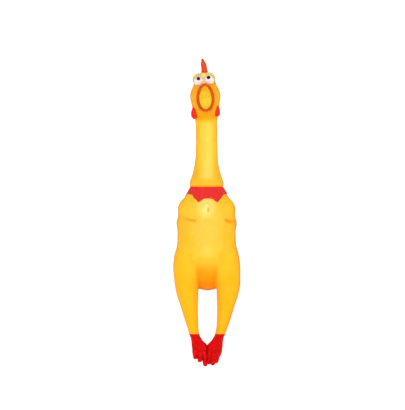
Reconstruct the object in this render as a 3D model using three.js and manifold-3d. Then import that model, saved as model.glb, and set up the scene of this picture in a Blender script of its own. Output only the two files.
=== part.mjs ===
// A rubber chicken: a hollow squeeze toy in soft vinyl, standing head up and facing -Y, in millimetres.
// The origin is the middle of the hand's grip round the torso. The bird's own left side is +X.
// The skin is split into zones: stiff ones, and short flexing ones where the neck and legs bend.
import * as THREE from "three";
import { mergeVertices } from "three/addons/utils/BufferGeometryUtils.js";
import Module from "manifold-3d";

const wasm = await Module();
wasm.setup();

// ---------------------------------------------------------------- driving dimensions

const skinWall = 1.8; // the vinyl
const gap = 0.3; // between any two neighbours
const slideGap = 0.5; // round the belly panel, which moves

const torsoLength = 108.4; // rump to collar
const torsoWidth = 60;
const torsoDepth = 54;
const torsoBelowGrip = 68; // rump to the grip's middle

const neckLength = 54.8; // collar to head
const neckWidth = 22;

const headHeight = 64; // neck to crown
const headWidth = 30.6;
const headDepth = 34;
const headLean = THREE.MathUtils.degToRad(-2.1); // towards the bird's right

const legLength = 44.3; // rump to ankle
const thighWidth = 26.4;
const legSpread = 44.4; // between the thighs' middles
const footLength = 34; // ankle to toe tips

const flexLength = 9.8; // of each flexing zone of the neck and legs
const ankleFlexLength = 6.8;

const mouthWidth = 15.9; // between the rim's centrelines
const mouthHeight = 26;
const rimRadius = 1.3;
const eyeRadius = 5.8;
const eyeSpacing = 10.4;
const pupilRadius = 1.8;
const combHeight = 14;
const combThickness = 5.4;
const wattleLength = 12.4;

const panelWidth = 36; // belly panel, the part that fingers press in
const panelHeight = 62;

const squeakerRadius = 8.5;
const squeakerHeight = 16.6;
const squeakerWall = 1.4;
const reedLength = 12.5;
const reedThickness = 0.25;

const aroundSkin = 24; // facets round the torso, neck and head

// ---------------------------------------------------------------- levels

const rumpZ = -torsoBelowGrip;
const collarZ = rumpZ + torsoLength;
const neckZ = collarZ + gap;
const leanRoom = (neckWidth / 2) * Math.sin(Math.abs(headLean)); // the lean tips the head's lower edge
const headZ = neckZ + neckLength + gap + leanRoom;
const crownZ = headZ + headHeight;
const ankleZ = rumpZ - legLength;
const mouthZ = headZ + 0.57 * headHeight;
const eyeZ = headZ + 0.86 * headHeight;
const seatRise = 3.4;
const seatTop = headZ + seatRise; // the shoulder inside the skin that the squeaker stands on
const squeakerZ = seatTop + gap;
const squeakerTop = squeakerZ + squeakerHeight;
const throatTop = squeakerTop + 0.12 * headHeight;

// ---------------------------------------------------------------- profiles, as shares of the sizes above

// height, width, depth, and how far the middle lies behind the grip, from the rump up
const torsoProfile = [
  [0, 0.05, 0.05, 0.31],
  [0.028, 0.32, 0.4, 0.28],
  [0.092, 0.55, 0.66, 0.19],
  [0.185, 0.74, 0.83, 0.09],
  [0.304, 0.9, 0.94, 0],
  [0.443, 0.985, 1, -0.055],
  [0.581, 1, 1, -0.075],
  [0.701, 0.98, 0.96, -0.07],
  [0.793, 0.93, 0.88, -0.05],
  [0.876, 0.82, 0.76, -0.02],
  [0.941, 0.675, 0.65, 0],
  [1, 0.553, 0.578, 0],
];

// height and width, from the cuff's lip up to the head
const neckProfile = [
  [0, 1.59],
  [0.07, 1.61],
  [0.13, 1.51],
  [0.185, 1.4],
  [0.3, 1.235],
  [0.48, 1.12],
  [0.64, 1.045],
  [0.85, 1.01],
  [1, 1],
];

// height, width, depth and set-back, from the neck up to the crown
const headProfile = [
  [0, neckWidth / headWidth, neckWidth / headDepth, 0],
  [0.12, 0.715, 0.645, 0],
  [0.22, 0.74, 0.68, 0],
  [0.31, 0.81, 0.765, -0.06],
  [0.42, 0.91, 0.88, -0.08],
  [0.53, 0.98, 0.97, -0.06],
  [0.62, 1, 1, -0.02],
  [0.71, 0.955, 0.99, 0.02],
  [0.79, 0.85, 0.94, 0.045],
  [0.87, 0.735, 0.85, 0.07],
  [0.935, 0.6, 0.7, 0.08],
  [0.98, 0.38, 0.47, 0.085],
  [1, 0.06, 0.08, 0.09],
];

// height below the rump over the leg's length, then middle x, middle y, width and depth
const legProfile = [
  [1.2, 0.79, -0.08, 0.95, 1.12],
  [0.86, 0.9, -0.16, 1, 1.21],
  [0.52, 0.973, -0.19, 1, 1.175],
  [0.23, 1, -0.19, 0.977, 1.1],
  [0, 0.973, -0.17, 0.947, 1.02],
  [-0.2, 0.919, -0.15, 0.833, 0.91],
  [-0.5, 0.838, -0.13, 0.66, 0.74],
  [-0.77, 0.757, -0.115, 0.545, 0.62],
  [-1, 0.64, -0.115, 0.485, 0.54],
];

// each toe of a foot: its tip's distance across from the midline, its drop below the ankle as a share
// of the foot's length, its tip's distance forward, and its radius
const toeSets = {
  right: [
    [12.2, 0.78, 8, 2.7],
    [6.9, 0.89, 10.5, 2.5],
    [2.7, 1, 8, 2.25],
  ],
  left: [
    [9.2, 0.84, 8, 2.7],
    [6.1, 0.99, 10.5, 2.5],
    [2.7, 0.9, 7, 2.25],
  ],
};

// ---------------------------------------------------------------- meshes and solids

// Joins rings of points, each ring running anticlockwise about the direction in which the rings
// follow each other.
// The ends are fans to their middles, or with loop the last ring joins the first.
function joinRings(rings, loop = false) {
  const around = rings[0].length;
  const points = rings.flat();
  const index = [];
  const last = loop ? rings.length : rings.length - 1;
  for (let i = 0; i < last; i++) {
    const next = ((i + 1) % rings.length) * around;
    for (let j = 0; j < around; j++) {
      const k = (j + 1) % around;
      const [a, b, c, d] = [i * around + j, i * around + k, next + k, next + j];
      index.push(a, b, c, a, c, d);
    }
  }
  if (!loop) {
    for (const [ring, turn] of [[rings[0], 0], [rings[rings.length - 1], 1]]) {
      const start = points.indexOf(ring[0]);
      const middle = ring.reduce((sum, p) => sum.add(p), new THREE.Vector3()).divideScalar(around);
      points.push(middle);
      for (let j = 0; j < around; j++) {
        const k = (j + 1) % around;
        index.push(points.length - 1, start + (turn ? j : k), start + (turn ? k : j));
      }
    }
  }
  const geometry = new THREE.BufferGeometry().setFromPoints(points);
  return geometry.setIndex(index);
}

// A closed geometry as a solid that can be cut and joined.
function solid(geometry) {
  const bare = geometry.clone();
  bare.deleteAttribute("normal");
  bare.deleteAttribute("uv");
  const merged = mergeVertices(bare, 1e-4);
  const index = merged.index.array;
  return new wasm.Manifold(
    new wasm.Mesh({
      numProp: 3,
      vertProperties: new Float32Array(merged.attributes.position.array),
      triVerts: new Uint32Array(index),
    }),
  );
}

// A solid's largest piece as a geometry. Cuts on curved skins can leave slivers, which are dropped.
function geometryOf(cut) {
  const pieces = cut.decompose().sort((p, q) => q.volume() - p.volume());
  const mesh = pieces[0].getMesh();
  const geometry = new THREE.BufferGeometry();
  geometry.setAttribute("position", new THREE.BufferAttribute(new Float32Array(mesh.vertProperties), 3));
  geometry.setIndex(new THREE.BufferAttribute(new Uint32Array(mesh.triVerts), 1));
  return geometry;
}

const join = (...solids) => solids.reduce((a, b) => a.add(b));

// An ellipse lying flat at height z.
function flatRing(z, x, y, rx, ry, around) {
  return Array.from({ length: around }, (_, j) => {
    const angle = (2 * Math.PI * j) / around;
    return new THREE.Vector3(x + rx * Math.cos(angle), y + ry * Math.sin(angle), z);
  });
}

// A smooth function of height through a profile's rows, whose first number is the height.
function along(rows) {
  const sorted = [...rows].sort((p, q) => p[0] - q[0]);
  const width = sorted[0].length - 1;
  const curve = new THREE.CubicInterpolant(
    Float32Array.from(sorted.map((row) => row[0])),
    Float32Array.from(sorted.flatMap((row) => row.slice(1))),
    width,
    new Float32Array(width),
  );
  return (height) => [...curve.evaluate(height)];
}

const torsoAt = along(torsoProfile);
const neckAt = along(neckProfile);
const headAt = along(headProfile);
const legAt = along(legProfile);

// The head's skin widens, if it has to, round the squeaker in the throat.
const squeakerRoom = (squeakerRadius + gap) / Math.cos(Math.PI / aroundSkin) + skinWall;

// Each of these gives [x, y, rx, ry] of the skin's outside at height z.
const sections = {
  torso(z) {
    const [width, depth, back] = torsoAt((z - rumpZ) / torsoLength);
    return [0, (back * torsoDepth) / 2, (width * torsoWidth) / 2, (depth * torsoDepth) / 2];
  },
  neck(z) {
    const [width] = neckAt((z - neckZ) / neckLength);
    const radius = (width * neckWidth) / 2;
    return [0, 0, radius, radius * 0.98];
  },
  head(z) {
    const [width, depth, back] = headAt((z - headZ) / headHeight);
    const y = (back * headDepth) / 2;
    const least = z < throatTop ? squeakerRoom + Math.abs(y) : 0;
    return [0, y, Math.max(least, (width * headWidth) / 2), Math.max(least, (depth * headDepth) / 2)];
  },
  leg(z, side) {
    const [x, y, width, depth] = legAt((z - rumpZ) / legLength);
    return [(side * x * legSpread) / 2, y * thighWidth, (width * thighWidth) / 2, (depth * thighWidth) / 2];
  },
};

// A solid between two heights through the sections from start to end, grown outwards by grow.
function loft(
  section,
  low,
  high,
  { grow = 0, steps = 12, around = aroundSkin, start = low, end = high } = {},
) {
  const rings = [];
  for (let i = 0; i <= steps; i++) {
    const [x, y, rx, ry] = section(THREE.MathUtils.lerp(start, end, i / steps));
    const z = THREE.MathUtils.lerp(low, high, i / steps);
    rings.push(flatRing(z, x, y, Math.max(rx + grow, 0.4), Math.max(ry + grow, 0.4), around));
  }
  return solid(joinRings(rings));
}

// A length of hollow skin, open at both ends.
function sleeve(section, low, high, { steps = 2, around = 20 } = {}) {
  const wallRings = (inset, from, to) =>
    Array.from({ length: steps + 1 }, (_, i) => {
      const z = THREE.MathUtils.lerp(from, to, i / steps);
      const [x, y, rx, ry] = section(z);
      return flatRing(z, x, y, rx - inset, ry - inset, around);
    });
  return joinRings([...wallRings(0, low, high), ...wallRings(skinWall, high, low)], true);
}

// A tapering limb with round ends along a smooth line through the points.
function limb(points, radii, { steps = 4, around = 10 } = {}) {
  const line = new THREE.CatmullRomCurve3(points.map((p) => new THREE.Vector3(...p)));
  const frames = line.computeFrenetFrames(steps);
  const ringAt = (i, radius, push) => {
    const middle = line.getPointAt(i / steps).addScaledVector(frames.tangents[i], push);
    return Array.from({ length: around }, (_, j) => {
      const angle = (2 * Math.PI * j) / around;
      return middle
        .clone()
        .addScaledVector(frames.normals[i], radius * Math.cos(angle))
        .addScaledVector(frames.binormals[i], radius * Math.sin(angle));
    });
  };
  const [first, last] = radii;
  const rings = [ringAt(0, first * 0.6, -first * 0.8)];
  for (let i = 0; i <= steps; i++) rings.push(ringAt(i, THREE.MathUtils.lerp(first, last, i / steps), 0));
  rings.push(ringAt(steps, last * 0.6, last * 0.8));
  return solid(joinRings(rings));
}

function ellipsoid([x, y, z], [rx, ry, rz], around = 20) {
  return solid(new THREE.SphereGeometry(1, around, around / 2).scale(rx, ry, rz).translate(x, y, z));
}

// A turned solid about a vertical line at x, y, from closed [radius, height] points.
function turned(profile, x, y, around = 20) {
  const points = profile.map(([radius, z]) => new THREE.Vector2(radius, z));
  const lathe = new THREE.LatheGeometry([...points, points[0]], around);
  return lathe.rotateX(Math.PI / 2).translate(x, y, 0);
}

function block([x0, y0, z0], [x1, y1, z1]) {
  const box = new THREE.BoxGeometry(x1 - x0, y1 - y0, z1 - z0);
  return solid(box.translate((x0 + x1) / 2, (y0 + y1) / 2, (z0 + z1) / 2));
}

// Everything on one side of the midline, up to height top.
function halfSpace(side, top) {
  const far = 500;
  const [x0, x1] = side > 0 ? [gap / 2, far] : [-far, -gap / 2];
  return block([x0, -far, -far], [x1, far, top]);
}

// ---------------------------------------------------------------- materials

const vinyl = (color) => new THREE.MeshStandardMaterial({ color, roughness: 0.38, metalness: 0 });
const yellow = vinyl(0xf9c82e);
const paleYellow = vinyl(0xf7dc3f);
const orange = vinyl(0xe2580f);
const red = vinyl(0xe01c12);
const white = vinyl(0xf6ead6);
const black = vinyl(0x14100c);
const hardPlastic = new THREE.MeshStandardMaterial({ color: 0xece8dc, roughness: 0.5, metalness: 0 });
const reedFilm = new THREE.MeshStandardMaterial({ color: 0xd8d2c0, roughness: 0.3, metalness: 0 });

const toy = new THREE.Group();

function add(name, geometry, material, parent = toy) {
  const mesh = new THREE.Mesh(geometry, material);
  mesh.name = name;
  parent.add(mesh);
  return mesh;
}

const sides = { left: 1, right: -1 };

// ------------------------------------------------- torso with its thighs, folded wings and tail

// A folded wing: a round shoulder, and two rows of flight feathers that sweep back below it.
function wing(side, grow) {
  const place = (share, back, up) => [(side * share * torsoWidth) / 2, back, up];
  return join(
    ellipsoid(place(0.76, -3, 14), [9.2 + grow, 12 + grow, 12 + grow], 10),
    ellipsoid(place(0.84, 2, 1), [7 + grow, 14.5 + grow, 8.4 + grow], 10),
    ellipsoid(place(0.74, 12, -9), [6.4 + grow, 11 + grow, 8 + grow], 10),
  );
}

function tail(grow) {
  const root = [0, torsoDepth * 0.28, rumpZ + 27];
  const tip = [0, torsoDepth * 0.54, rumpZ + 17];
  return limb([root, tip], [8.5 + grow, 4 + grow]);
}

const thighStart = rumpZ + legLength * 1.15;
const bodySolid = (grow, open) =>
  join(
    loft(sections.torso, rumpZ - grow, collarZ + open, { grow, start: rumpZ }),
    tail(grow),
    ...Object.values(sides).flatMap((side) => [
      loft((z) => sections.leg(z, side), rumpZ - open, thighStart, { grow, steps: 5, around: 18 }),
      wing(side, grow),
    ]),
  );

const panelMiddle = 0.54; // of the torso's length, from the rump

// A flat outline run up along Z.
function straightBar(outline, depth, curveSegments) {
  return new THREE.ExtrudeGeometry(outline, { depth, bevelEnabled: false, curveSegments });
}

// The panel's outline, an oval run through the torso's front along Y.
function panelCutter(grow) {
  const outline = new THREE.Shape();
  outline.absellipse(0, 0, panelWidth / 2 + grow, panelHeight / 2 + grow, 0, 2 * Math.PI);
  const bar = straightBar(outline, torsoDepth, 20);
  const middleZ = rumpZ + torsoLength * panelMiddle;
  return solid(bar.rotateX(Math.PI / 2).translate(0, 0, middleZ));
}

const torsoShell = bodySolid(0, 0).subtract(bodySolid(-skinWall, 1));
add("torso_skin", geometryOf(torsoShell.subtract(panelCutter(slideGap))), yellow);
add("belly_panel", geometryOf(torsoShell.intersect(panelCutter(0))), yellow);

// ---------------------------------------------------------------- collar

// The collar's lower edge falls in eight points, with valleys between them.
const collarThickness = 0.9;
const collarPoints = 8;
function collarEdge(angle) {
  const wave = Math.abs(((angle * collarPoints) / (2 * Math.PI) + 0.75) % 1 - 0.5) * 2;
  const front = Math.max(0, -Math.sin(angle));
  return collarZ - 8 - 3 * front - 4.5 * wave;
}
function collarRing(share, out, around = 48) {
  return Array.from({ length: around }, (_, j) => {
    const angle = (2 * Math.PI * j) / around;
    const z = THREE.MathUtils.lerp(collarEdge(angle), collarZ - 0.3, share);
    const [x, y, rx, ry] = sections.torso(z);
    return new THREE.Vector3(x + (rx + out) * Math.cos(angle), y + (ry + out) * Math.sin(angle), z);
  });
}
const collarSteps = [0, 0.5, 1];
const collarOut = collarSteps.map((share) => collarRing(share, gap + 0.3 + collarThickness));
const collarIn = collarSteps.toReversed().map((share) => collarRing(share, gap + 0.3));
add("collar", joinRings([...collarOut, ...collarIn], true), red);

// ---------------------------------------------------------------- neck

const cuffTop = neckZ + 0.17 * neckLength;
const neckStiff = (neckLength - (cuffTop - neckZ) - 3 * flexLength - 5 * gap) / 2;
const neckCuts = [cuffTop, flexLength, neckStiff, flexLength, neckStiff, flexLength].reduce(
  (levels, length, i) => (i ? [...levels, levels[levels.length - 1] + length + gap] : [length]),
  [],
);
const neckZones = ["neck_root_flex", "lower_neck", "neck_middle_flex", "upper_neck", "throat_flex"];
add("neck_cuff", sleeve(sections.neck, neckZ, cuffTop), yellow);
neckZones.forEach((name, i) => {
  add(name, sleeve(sections.neck, neckCuts[i] + gap, neckCuts[i + 1]), yellow);
});

// ---------------------------------------------------------------- legs

const legStiff = (legLength - 2 * flexLength - ankleFlexLength - 5 * gap) / 2;
const legZones = [
  ["hip_flex", flexLength],
  ["upper_leg", legStiff],
  ["knee_flex", flexLength],
  ["lower_leg", legStiff],
  ["ankle_flex", ankleFlexLength],
];
for (const [name, side] of Object.entries(sides)) {
  let top = rumpZ - gap;
  for (const [zone, length] of legZones) {
    const section = (z) => sections.leg(z, side);
    add(`${name}_${zone}`, sleeve(section, top - length, top, { around: 18 }), yellow);
    top -= length + gap;
  }
}

// ---------------------------------------------------------------- feet

const palmReach = 0.4; // of the foot's length
function foot(name, side) {
  const [ankleX, ankleY, ankleRx, ankleRy] = sections.leg(ankleZ, side);
  const palmX = side * 7.6;
  const palmZ = ankleZ - palmReach * footLength;
  const palmRings = [0, 0.3, 0.6, 1].map((share) => {
    const z = THREE.MathUtils.lerp(ankleZ, palmZ, share);
    const x = THREE.MathUtils.lerp(ankleX, palmX, share ** 1.2);
    return flatRing(z, x, ankleY - 2 * share, ankleRx + 0.9 * share, ankleRy - 1.7 * share, 16);
  });
  const toes = toeSets[name].map(([tipX, drop, forward, radius]) => {
    const knuckleX = palmX + 0.5 * (side * tipX - palmX);
    const knuckle = [knuckleX, ankleY - 2.5, palmZ + 3];
    const tip = [side * tipX, ankleY - forward + 3, ankleZ - drop * footLength + radius];
    const middle = [(knuckle[0] + tip[0]) / 2, ankleY - forward * 0.6, (knuckle[2] + tip[2]) / 2];
    return limb([knuckle, middle, tip], [radius, radius * 0.85]);
  });
  const heelToe = limb(
    [
      [palmX, ankleY, palmZ + 4],
      [palmX + side, ankleY + 6, palmZ + 1],
      [palmX + side, ankleY + 9, palmZ - 5],
    ],
    [2.6, 1.9],
  );
  const whole = join(solid(joinRings(palmRings.toReversed())), ...toes, heelToe);
  return geometryOf(whole.intersect(halfSpace(side, ankleZ - gap)));
}
for (const [name, side] of Object.entries(sides)) add(`${name}_foot`, foot(name, side), red);

// ---------------------------------------------------------------- head, leaning about the top of the neck

const head = new THREE.Group();
head.position.set(0, 0, headZ);
head.rotation.y = headLean;
toy.add(head);
const headRoom = new THREE.Group(); // inside it, heights are the part's own, as if the head stood upright
headRoom.position.z = -headZ;
head.add(headRoom);

// The mouth's rim: an oval whose top and bottom, the beak's tips, stand forward of its corners.
const cornerY = -headDepth * 0.47;
const tipReach = headDepth * 0.27;
function rimPoint(angle, inset = 0) {
  const across = (mouthWidth / 2 - inset) * Math.sin(angle) * (1 - 0.06 * Math.cos(angle));
  const up = (mouthHeight / 2 - inset) * Math.cos(angle);
  return new THREE.Vector3(across, cornerY - tipReach * Math.cos(angle) ** 2, mouthZ + up);
}
class RimCurve extends THREE.Curve {
  getPoint(t, target = new THREE.Vector3()) {
    return target.copy(rimPoint(2 * Math.PI * t));
  }
}
const rimTube = (radius) => new THREE.TubeGeometry(new RimCurve(), 24, radius, 7, true);

// Rings that follow the rim's shape, pushed along Y and sized about the mouth's middle.
function mouthRing(inset, push, flatten, narrow, drop = 0, around = 20) {
  return Array.from({ length: around }, (_, j) => {
    const p = rimPoint((2 * Math.PI * j) / around, inset);
    const y = THREE.MathUtils.lerp(p.y, cornerY, flatten) + push;
    return new THREE.Vector3(p.x * narrow, y, mouthZ - drop + (p.z - mouthZ) * narrow);
  });
}
const beakOutside = solid(
  joinRings([
    mouthRing(-5.2, 12, 1, 1),
    mouthRing(-3.8, 6, 0.9, 1),
    mouthRing(-2.2, 3, 0.4, 1),
    mouthRing(-1.1, 0.6, 0, 1),
    mouthRing(0.2, -0.5, 0, 1),
  ].toReversed()),
);
const mouthDepth = headDepth * 0.6;
const mouthHollow = (grow, forward) =>
  solid(
    joinRings([
      mouthRing(1 - grow, -forward, 0, 1),
      mouthRing(1 - grow, 1.5, 0.2, 1),
      mouthRing(1.4 - grow, 0.28 * mouthDepth, 0.7, 1),
      mouthRing(1.8 - grow, 0.55 * mouthDepth, 1, 0.9, 1),
      mouthRing(2.2 - grow, 0.85 * mouthDepth + grow * 0.5, 1, 0.72, 3),
      mouthRing(3 - grow, mouthDepth + grow, 1, 0.4, 5),
    ]),
  );

const eyeAt = (side) => [(side * eyeSpacing) / 2, -headDepth * 0.325, eyeZ];
const headOutside = (grow) =>
  join(
    loft(sections.head, headZ, crownZ + grow, { grow, end: crownZ }),
    ...Object.values(sides).map((side) => {
      const [x, y, z] = eyeAt(side);
      const brow = eyeRadius + 0.9 + grow;
      return ellipsoid([x, y + 2.6, z + 1.2], [brow, brow, brow], 16);
    }),
  );
const headSurface = join(headOutside(0), beakOutside);
const liningWall = 1.4;
const eyeSockets = join(
  ...Object.values(sides).map((side) => ellipsoid(eyeAt(side), Array(3).fill(eyeRadius + gap), 16)),
);

// The squeaker stands in the throat on a shoulder inside the skin.
const boreRadius = squeakerRadius - squeakerWall;
const throatHoleRadius = 4.6; // the air's way from the squeaker into the mouth
function bore(radius, low, high) {
  const line = [
    [0, low],
    [radius, low],
    [radius, high],
    [0, high],
  ];
  return solid(turned(line, 0, 0));
}
const throatBore = bore(boreRadius, headZ - 1, seatTop + 1);
const throatHole = bore(throatHoleRadius, squeakerTop, mouthZ - 3);
const headHollow = loft(sections.head, seatTop, crownZ - skinWall, { grow: -skinWall, end: crownZ });
add(
  "head_skin",
  geometryOf(
    headSurface
      .subtract(headHollow)
      .subtract(throatBore)
      .subtract(mouthHollow(liningWall + gap, 12))
      .subtract(solid(rimTube(rimRadius + gap)))
      .subtract(eyeSockets),
  ),
  yellow,
  headRoom,
);
add(
  "mouth_lining",
  geometryOf(
    mouthHollow(liningWall, -1)
      .subtract(mouthHollow(0, 12))
      .subtract(solid(rimTube(rimRadius + gap)))
      .subtract(throatHole),
  ),
  paleYellow,
  headRoom,
);
add("beak_rim", rimTube(rimRadius), orange, headRoom);

const glance = 0.7; // the pupils look a little to the bird's right, and up
const lookUp = 1.4;
const pupilThickness = 0.5;
for (const [name, side] of Object.entries(sides)) {
  const [x, y, z] = eyeAt(side);
  const ball = ellipsoid([x, y, z], Array(3).fill(eyeRadius), 16).intersect(halfSpace(side, crownZ));
  const rimKeepOut = solid(rimTube(rimRadius + gap));
  const beakKeepOut = beakOutside.subtract(eyeSockets);
  add(`${name}_eye`, geometryOf(ball.subtract(rimKeepOut).subtract(beakKeepOut)), white, headRoom);
  const gazeX = x - glance;
  const gazeZ = z + lookUp;
  const disc = new THREE.CylinderGeometry(pupilRadius, pupilRadius, eyeRadius * 2, 20);
  const cornea = (radius) => ellipsoid([x, y, z], Array(3).fill(radius), 20);
  const pupil = cornea(eyeRadius + gap + pupilThickness)
    .subtract(cornea(eyeRadius + gap))
    .intersect(solid(disc.translate(gazeX, y - eyeRadius, gazeZ)));
  add(`${name}_pupil`, geometryOf(pupil), black, headRoom);
}

// ---------------------------------------------------------------- comb and wattles

const combOutline = [
  [-7, -12],
  [-9.2, -1],
  [-10, 0.3],
  [-5.6, 0.16],
  [-4.2, 0.72],
  [0.2, 0.4],
  [3.2, 1],
  [6.8, 0.42],
  [10.4, 0.74],
  [11.8, 0.1],
  [16, 0.22],
  [13, -6],
  [10, -12],
].map(([y, height]) => new THREE.Vector2(y, height < -0.9 ? height : height * combHeight));
const combFin = new THREE.ExtrudeGeometry(new THREE.Shape(combOutline), {
  depth: combThickness,
  bevelEnabled: false,
});
combFin.translate(0, 0, -combThickness / 2);
const combPlaces = combFin.getAttribute("position");
for (let i = 0; i < combPlaces.count; i++) {
  const height = combPlaces.getY(i);
  const thin = THREE.MathUtils.clamp(1 - 0.55 * (height / combHeight), 0.45, 1);
  combPlaces.setZ(i, combPlaces.getZ(i) * thin);
}
// the outline's (y, height) plane stands up in the middle of the head, its thickness along X
combFin.applyMatrix4(new THREE.Matrix4().set(0, 0, 1, 0, 1, 0, 0, 0, 0, 1, 0, crownZ, 0, 0, 0, 1));
const headKeepOut = join(headOutside(gap), beakOutside);
add("comb", geometryOf(solid(combFin).subtract(headKeepOut)), red, headRoom);

for (const [name, side] of Object.entries(sides)) {
  const [, , jawX] = sections.head(mouthZ - mouthHeight * 0.55);
  const wattleZ = mouthZ - mouthHeight / 2 - 2.4;
  const lobe = join(
    ellipsoid([side * (jawX - 0.6), -8, wattleZ - 0.8], [3.1, 4.2, wattleLength / 2 - 0.8], 12),
    ellipsoid([side * (jawX - 1.6), -8, wattleZ + 2.8], [2.2, 3, 4.2], 12),
  );
  add(`${name}_wattle`, geometryOf(lobe.subtract(headKeepOut)), red, headRoom);
}

// ---------------------------------------------------------------- squeaker

const capThickness = 1.6;
const floorThickness = 1.6;
const seatRadius = 4; // the reed's half-round seat and its clip
const seatHole = seatRadius + 0.4; // the housing's floor is open round the seat
const soundHole = 2.4;
const capPlug = 1.2; // how far the cap reaches into the housing
const housingTop = squeakerTop - capThickness - gap;
add(
  "squeaker_housing",
  turned(
    [
      [seatHole, squeakerZ],
      [squeakerRadius, squeakerZ],
      [squeakerRadius, housingTop],
      [boreRadius, housingTop],
      [boreRadius, squeakerZ + floorThickness],
      [seatHole, squeakerZ + floorThickness],
    ],
    0,
    0,
  ),
  hardPlastic,
  headRoom,
);
add(
  "squeaker_cap",
  turned(
    [
      [soundHole, housingTop - capPlug],
      [boreRadius - gap, housingTop - capPlug],
      [boreRadius - gap, housingTop + gap],
      [squeakerRadius, housingTop + gap],
      [squeakerRadius, squeakerTop],
      [soundHole, squeakerTop],
    ],
    0,
    0,
  ),
  hardPlastic,
  headRoom,
);

// The seat is a half-round trough behind the reed, and the clip holds the reed's root against it.
const reedRest = 0.35; // the open gap between reed and seat
const channelRadius = 2.7;
const trough = new THREE.Shape();
trough.absarc(0, 0, seatRadius, 0, Math.PI, false);
trough.lineTo(-channelRadius, 0);
trough.absarc(0, 0, channelRadius, Math.PI, 0, true);
trough.closePath();
const seatBottom = squeakerZ - 1.2; // the seat hangs a little through the housing's floor
const seatLength = reedLength + 2.2;
const seat = straightBar(trough, seatLength, 10);
add("reed_seat", seat.translate(0, 0, seatBottom), hardPlastic, headRoom);

const reedFace = -reedRest;
const reedWidth = 6;
const reedRoot = seatBottom + 0.6;
const reed = new THREE.BoxGeometry(reedWidth, reedThickness, reedLength);
reed.translate(0, reedFace - reedThickness / 2, reedRoot + reedLength / 2);
add("reed", reed, reedFilm, headRoom);

const clipFace = reedRest + reedThickness + gap;
const clipAngle = Math.asin(clipFace / seatRadius);
const clip = new THREE.Shape();
clip.absarc(0, 0, seatRadius, Math.PI + clipAngle, 2 * Math.PI - clipAngle, false);
clip.closePath();
const clipHeight = 3.2;
const clipBlock = straightBar(clip, clipHeight, 10);
add("reed_clip", clipBlock.translate(0, 0, seatBottom), hardPlastic, headRoom);

export default toy;
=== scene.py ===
"""The looks of a rubber chicken: soft vinyl skin, sprayed paint, and a squeaker in its throat.

The skin is one moulded surface, worked out as the place where a blended distance to
simple rounded shapes is zero. It is then cut at level planes into pieces, each
across one joint. Shapes are reckoned in millimetres in the CAD row's
frame and put into the meshes in metres.
"""
import logging
import math
from dataclasses import dataclass, field
from enum import Enum
from typing import Callable

import bmesh
import bpy
import numpy as np
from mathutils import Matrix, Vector


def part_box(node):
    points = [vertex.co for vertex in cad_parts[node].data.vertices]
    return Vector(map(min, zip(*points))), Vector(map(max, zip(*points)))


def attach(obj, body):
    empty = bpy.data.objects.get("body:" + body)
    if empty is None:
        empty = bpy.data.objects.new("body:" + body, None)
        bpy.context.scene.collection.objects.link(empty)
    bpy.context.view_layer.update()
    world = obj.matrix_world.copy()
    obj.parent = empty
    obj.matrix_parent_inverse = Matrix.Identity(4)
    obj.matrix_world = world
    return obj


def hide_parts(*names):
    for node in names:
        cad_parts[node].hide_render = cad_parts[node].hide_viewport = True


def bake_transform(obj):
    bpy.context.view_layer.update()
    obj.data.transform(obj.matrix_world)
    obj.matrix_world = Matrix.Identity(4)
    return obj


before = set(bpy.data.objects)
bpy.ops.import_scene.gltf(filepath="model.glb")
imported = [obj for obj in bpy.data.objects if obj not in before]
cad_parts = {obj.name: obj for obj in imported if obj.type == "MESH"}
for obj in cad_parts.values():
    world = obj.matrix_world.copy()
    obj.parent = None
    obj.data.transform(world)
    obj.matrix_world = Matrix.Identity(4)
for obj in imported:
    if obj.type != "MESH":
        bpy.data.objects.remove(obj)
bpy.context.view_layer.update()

LOG = logging.getLogger("rubber_chicken")
MM = 0.001

Array = np.ndarray
Field = Callable[[Array], Array]
Triple = tuple[float, float, float]
Material = bpy.types.Material
Tree = bpy.types.NodeTree
Socket = bpy.types.NodeSocket
Node = bpy.types.Node


# ---- levels taken from the frame


def low_mm(node: str, axis: int = 2) -> float:
    """Lowest coordinate of a CAD node along an axis, in millimetres."""
    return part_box(node)[0][axis] / MM


def high_mm(node: str, axis: int = 2) -> float:
    """Highest coordinate of a CAD node along an axis, in millimetres."""
    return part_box(node)[1][axis] / MM


def middle_mm(node: str, axis: int = 2) -> float:
    """Middle coordinate of a CAD node along an axis, in millimetres."""
    return (low_mm(node, axis) + high_mm(node, axis)) / 2


HEAD_Z = high_mm("throat_flex") + 0.9
ANKLE_Z = low_mm("left_ankle_flex")
FOOT_SEAM = ANKLE_Z - 0.15
SHIN_Z = -98.0
HEAD_LEAN = math.radians(2.1)  # towards the bird's right
TINY = 1e-9  # keeps a division clear of zero
SURFACE_SLIDES = 3  # slides of a net's points on to their surface
MOST_NET_SIDES = 6  # a face with more is a flat cap


# ---- distance fields


def soft_join(a: Array, b: Array, soft: float) -> Array:
    """The nearer of two distances, rounded where they meet.

    The lesser value, less a parabola of height soft / 4 where they are equal.

    Args:
        a: Distances to one shape.
        b: Distances to the other.
        soft: Width of the fillet, in millimetres.

    Returns:
        Distances to both shapes melted together.
    """
    h = np.clip(0.5 + 0.5 * (b - a) / soft, 0, 1)
    return b + (a - b) * h - soft * h * (1 - h)


def soft_cut(a: Array, b: Array, soft: float) -> Array:
    """Distances to shape a with shape b taken away, the edge rounded by soft."""
    return -soft_join(-a, b, soft)


def egg(p: Array, middle: Triple, radii: Triple) -> Array:
    """Distance to an ellipsoid: k(k - 1) over the length of its gradient.

    Args:
        p: Points, one per row.
        middle: Its centre.
        radii: Its half axes along X, Y and Z.

    Returns:
        Signed distances, close to true ones near the surface.
    """
    q = (p - np.array(middle)) / np.array(radii)
    k0 = np.linalg.norm(q, axis=1)
    k1 = np.linalg.norm(q / np.array(radii), axis=1) + TINY
    return k0 * (k0 - 1) / k1


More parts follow.
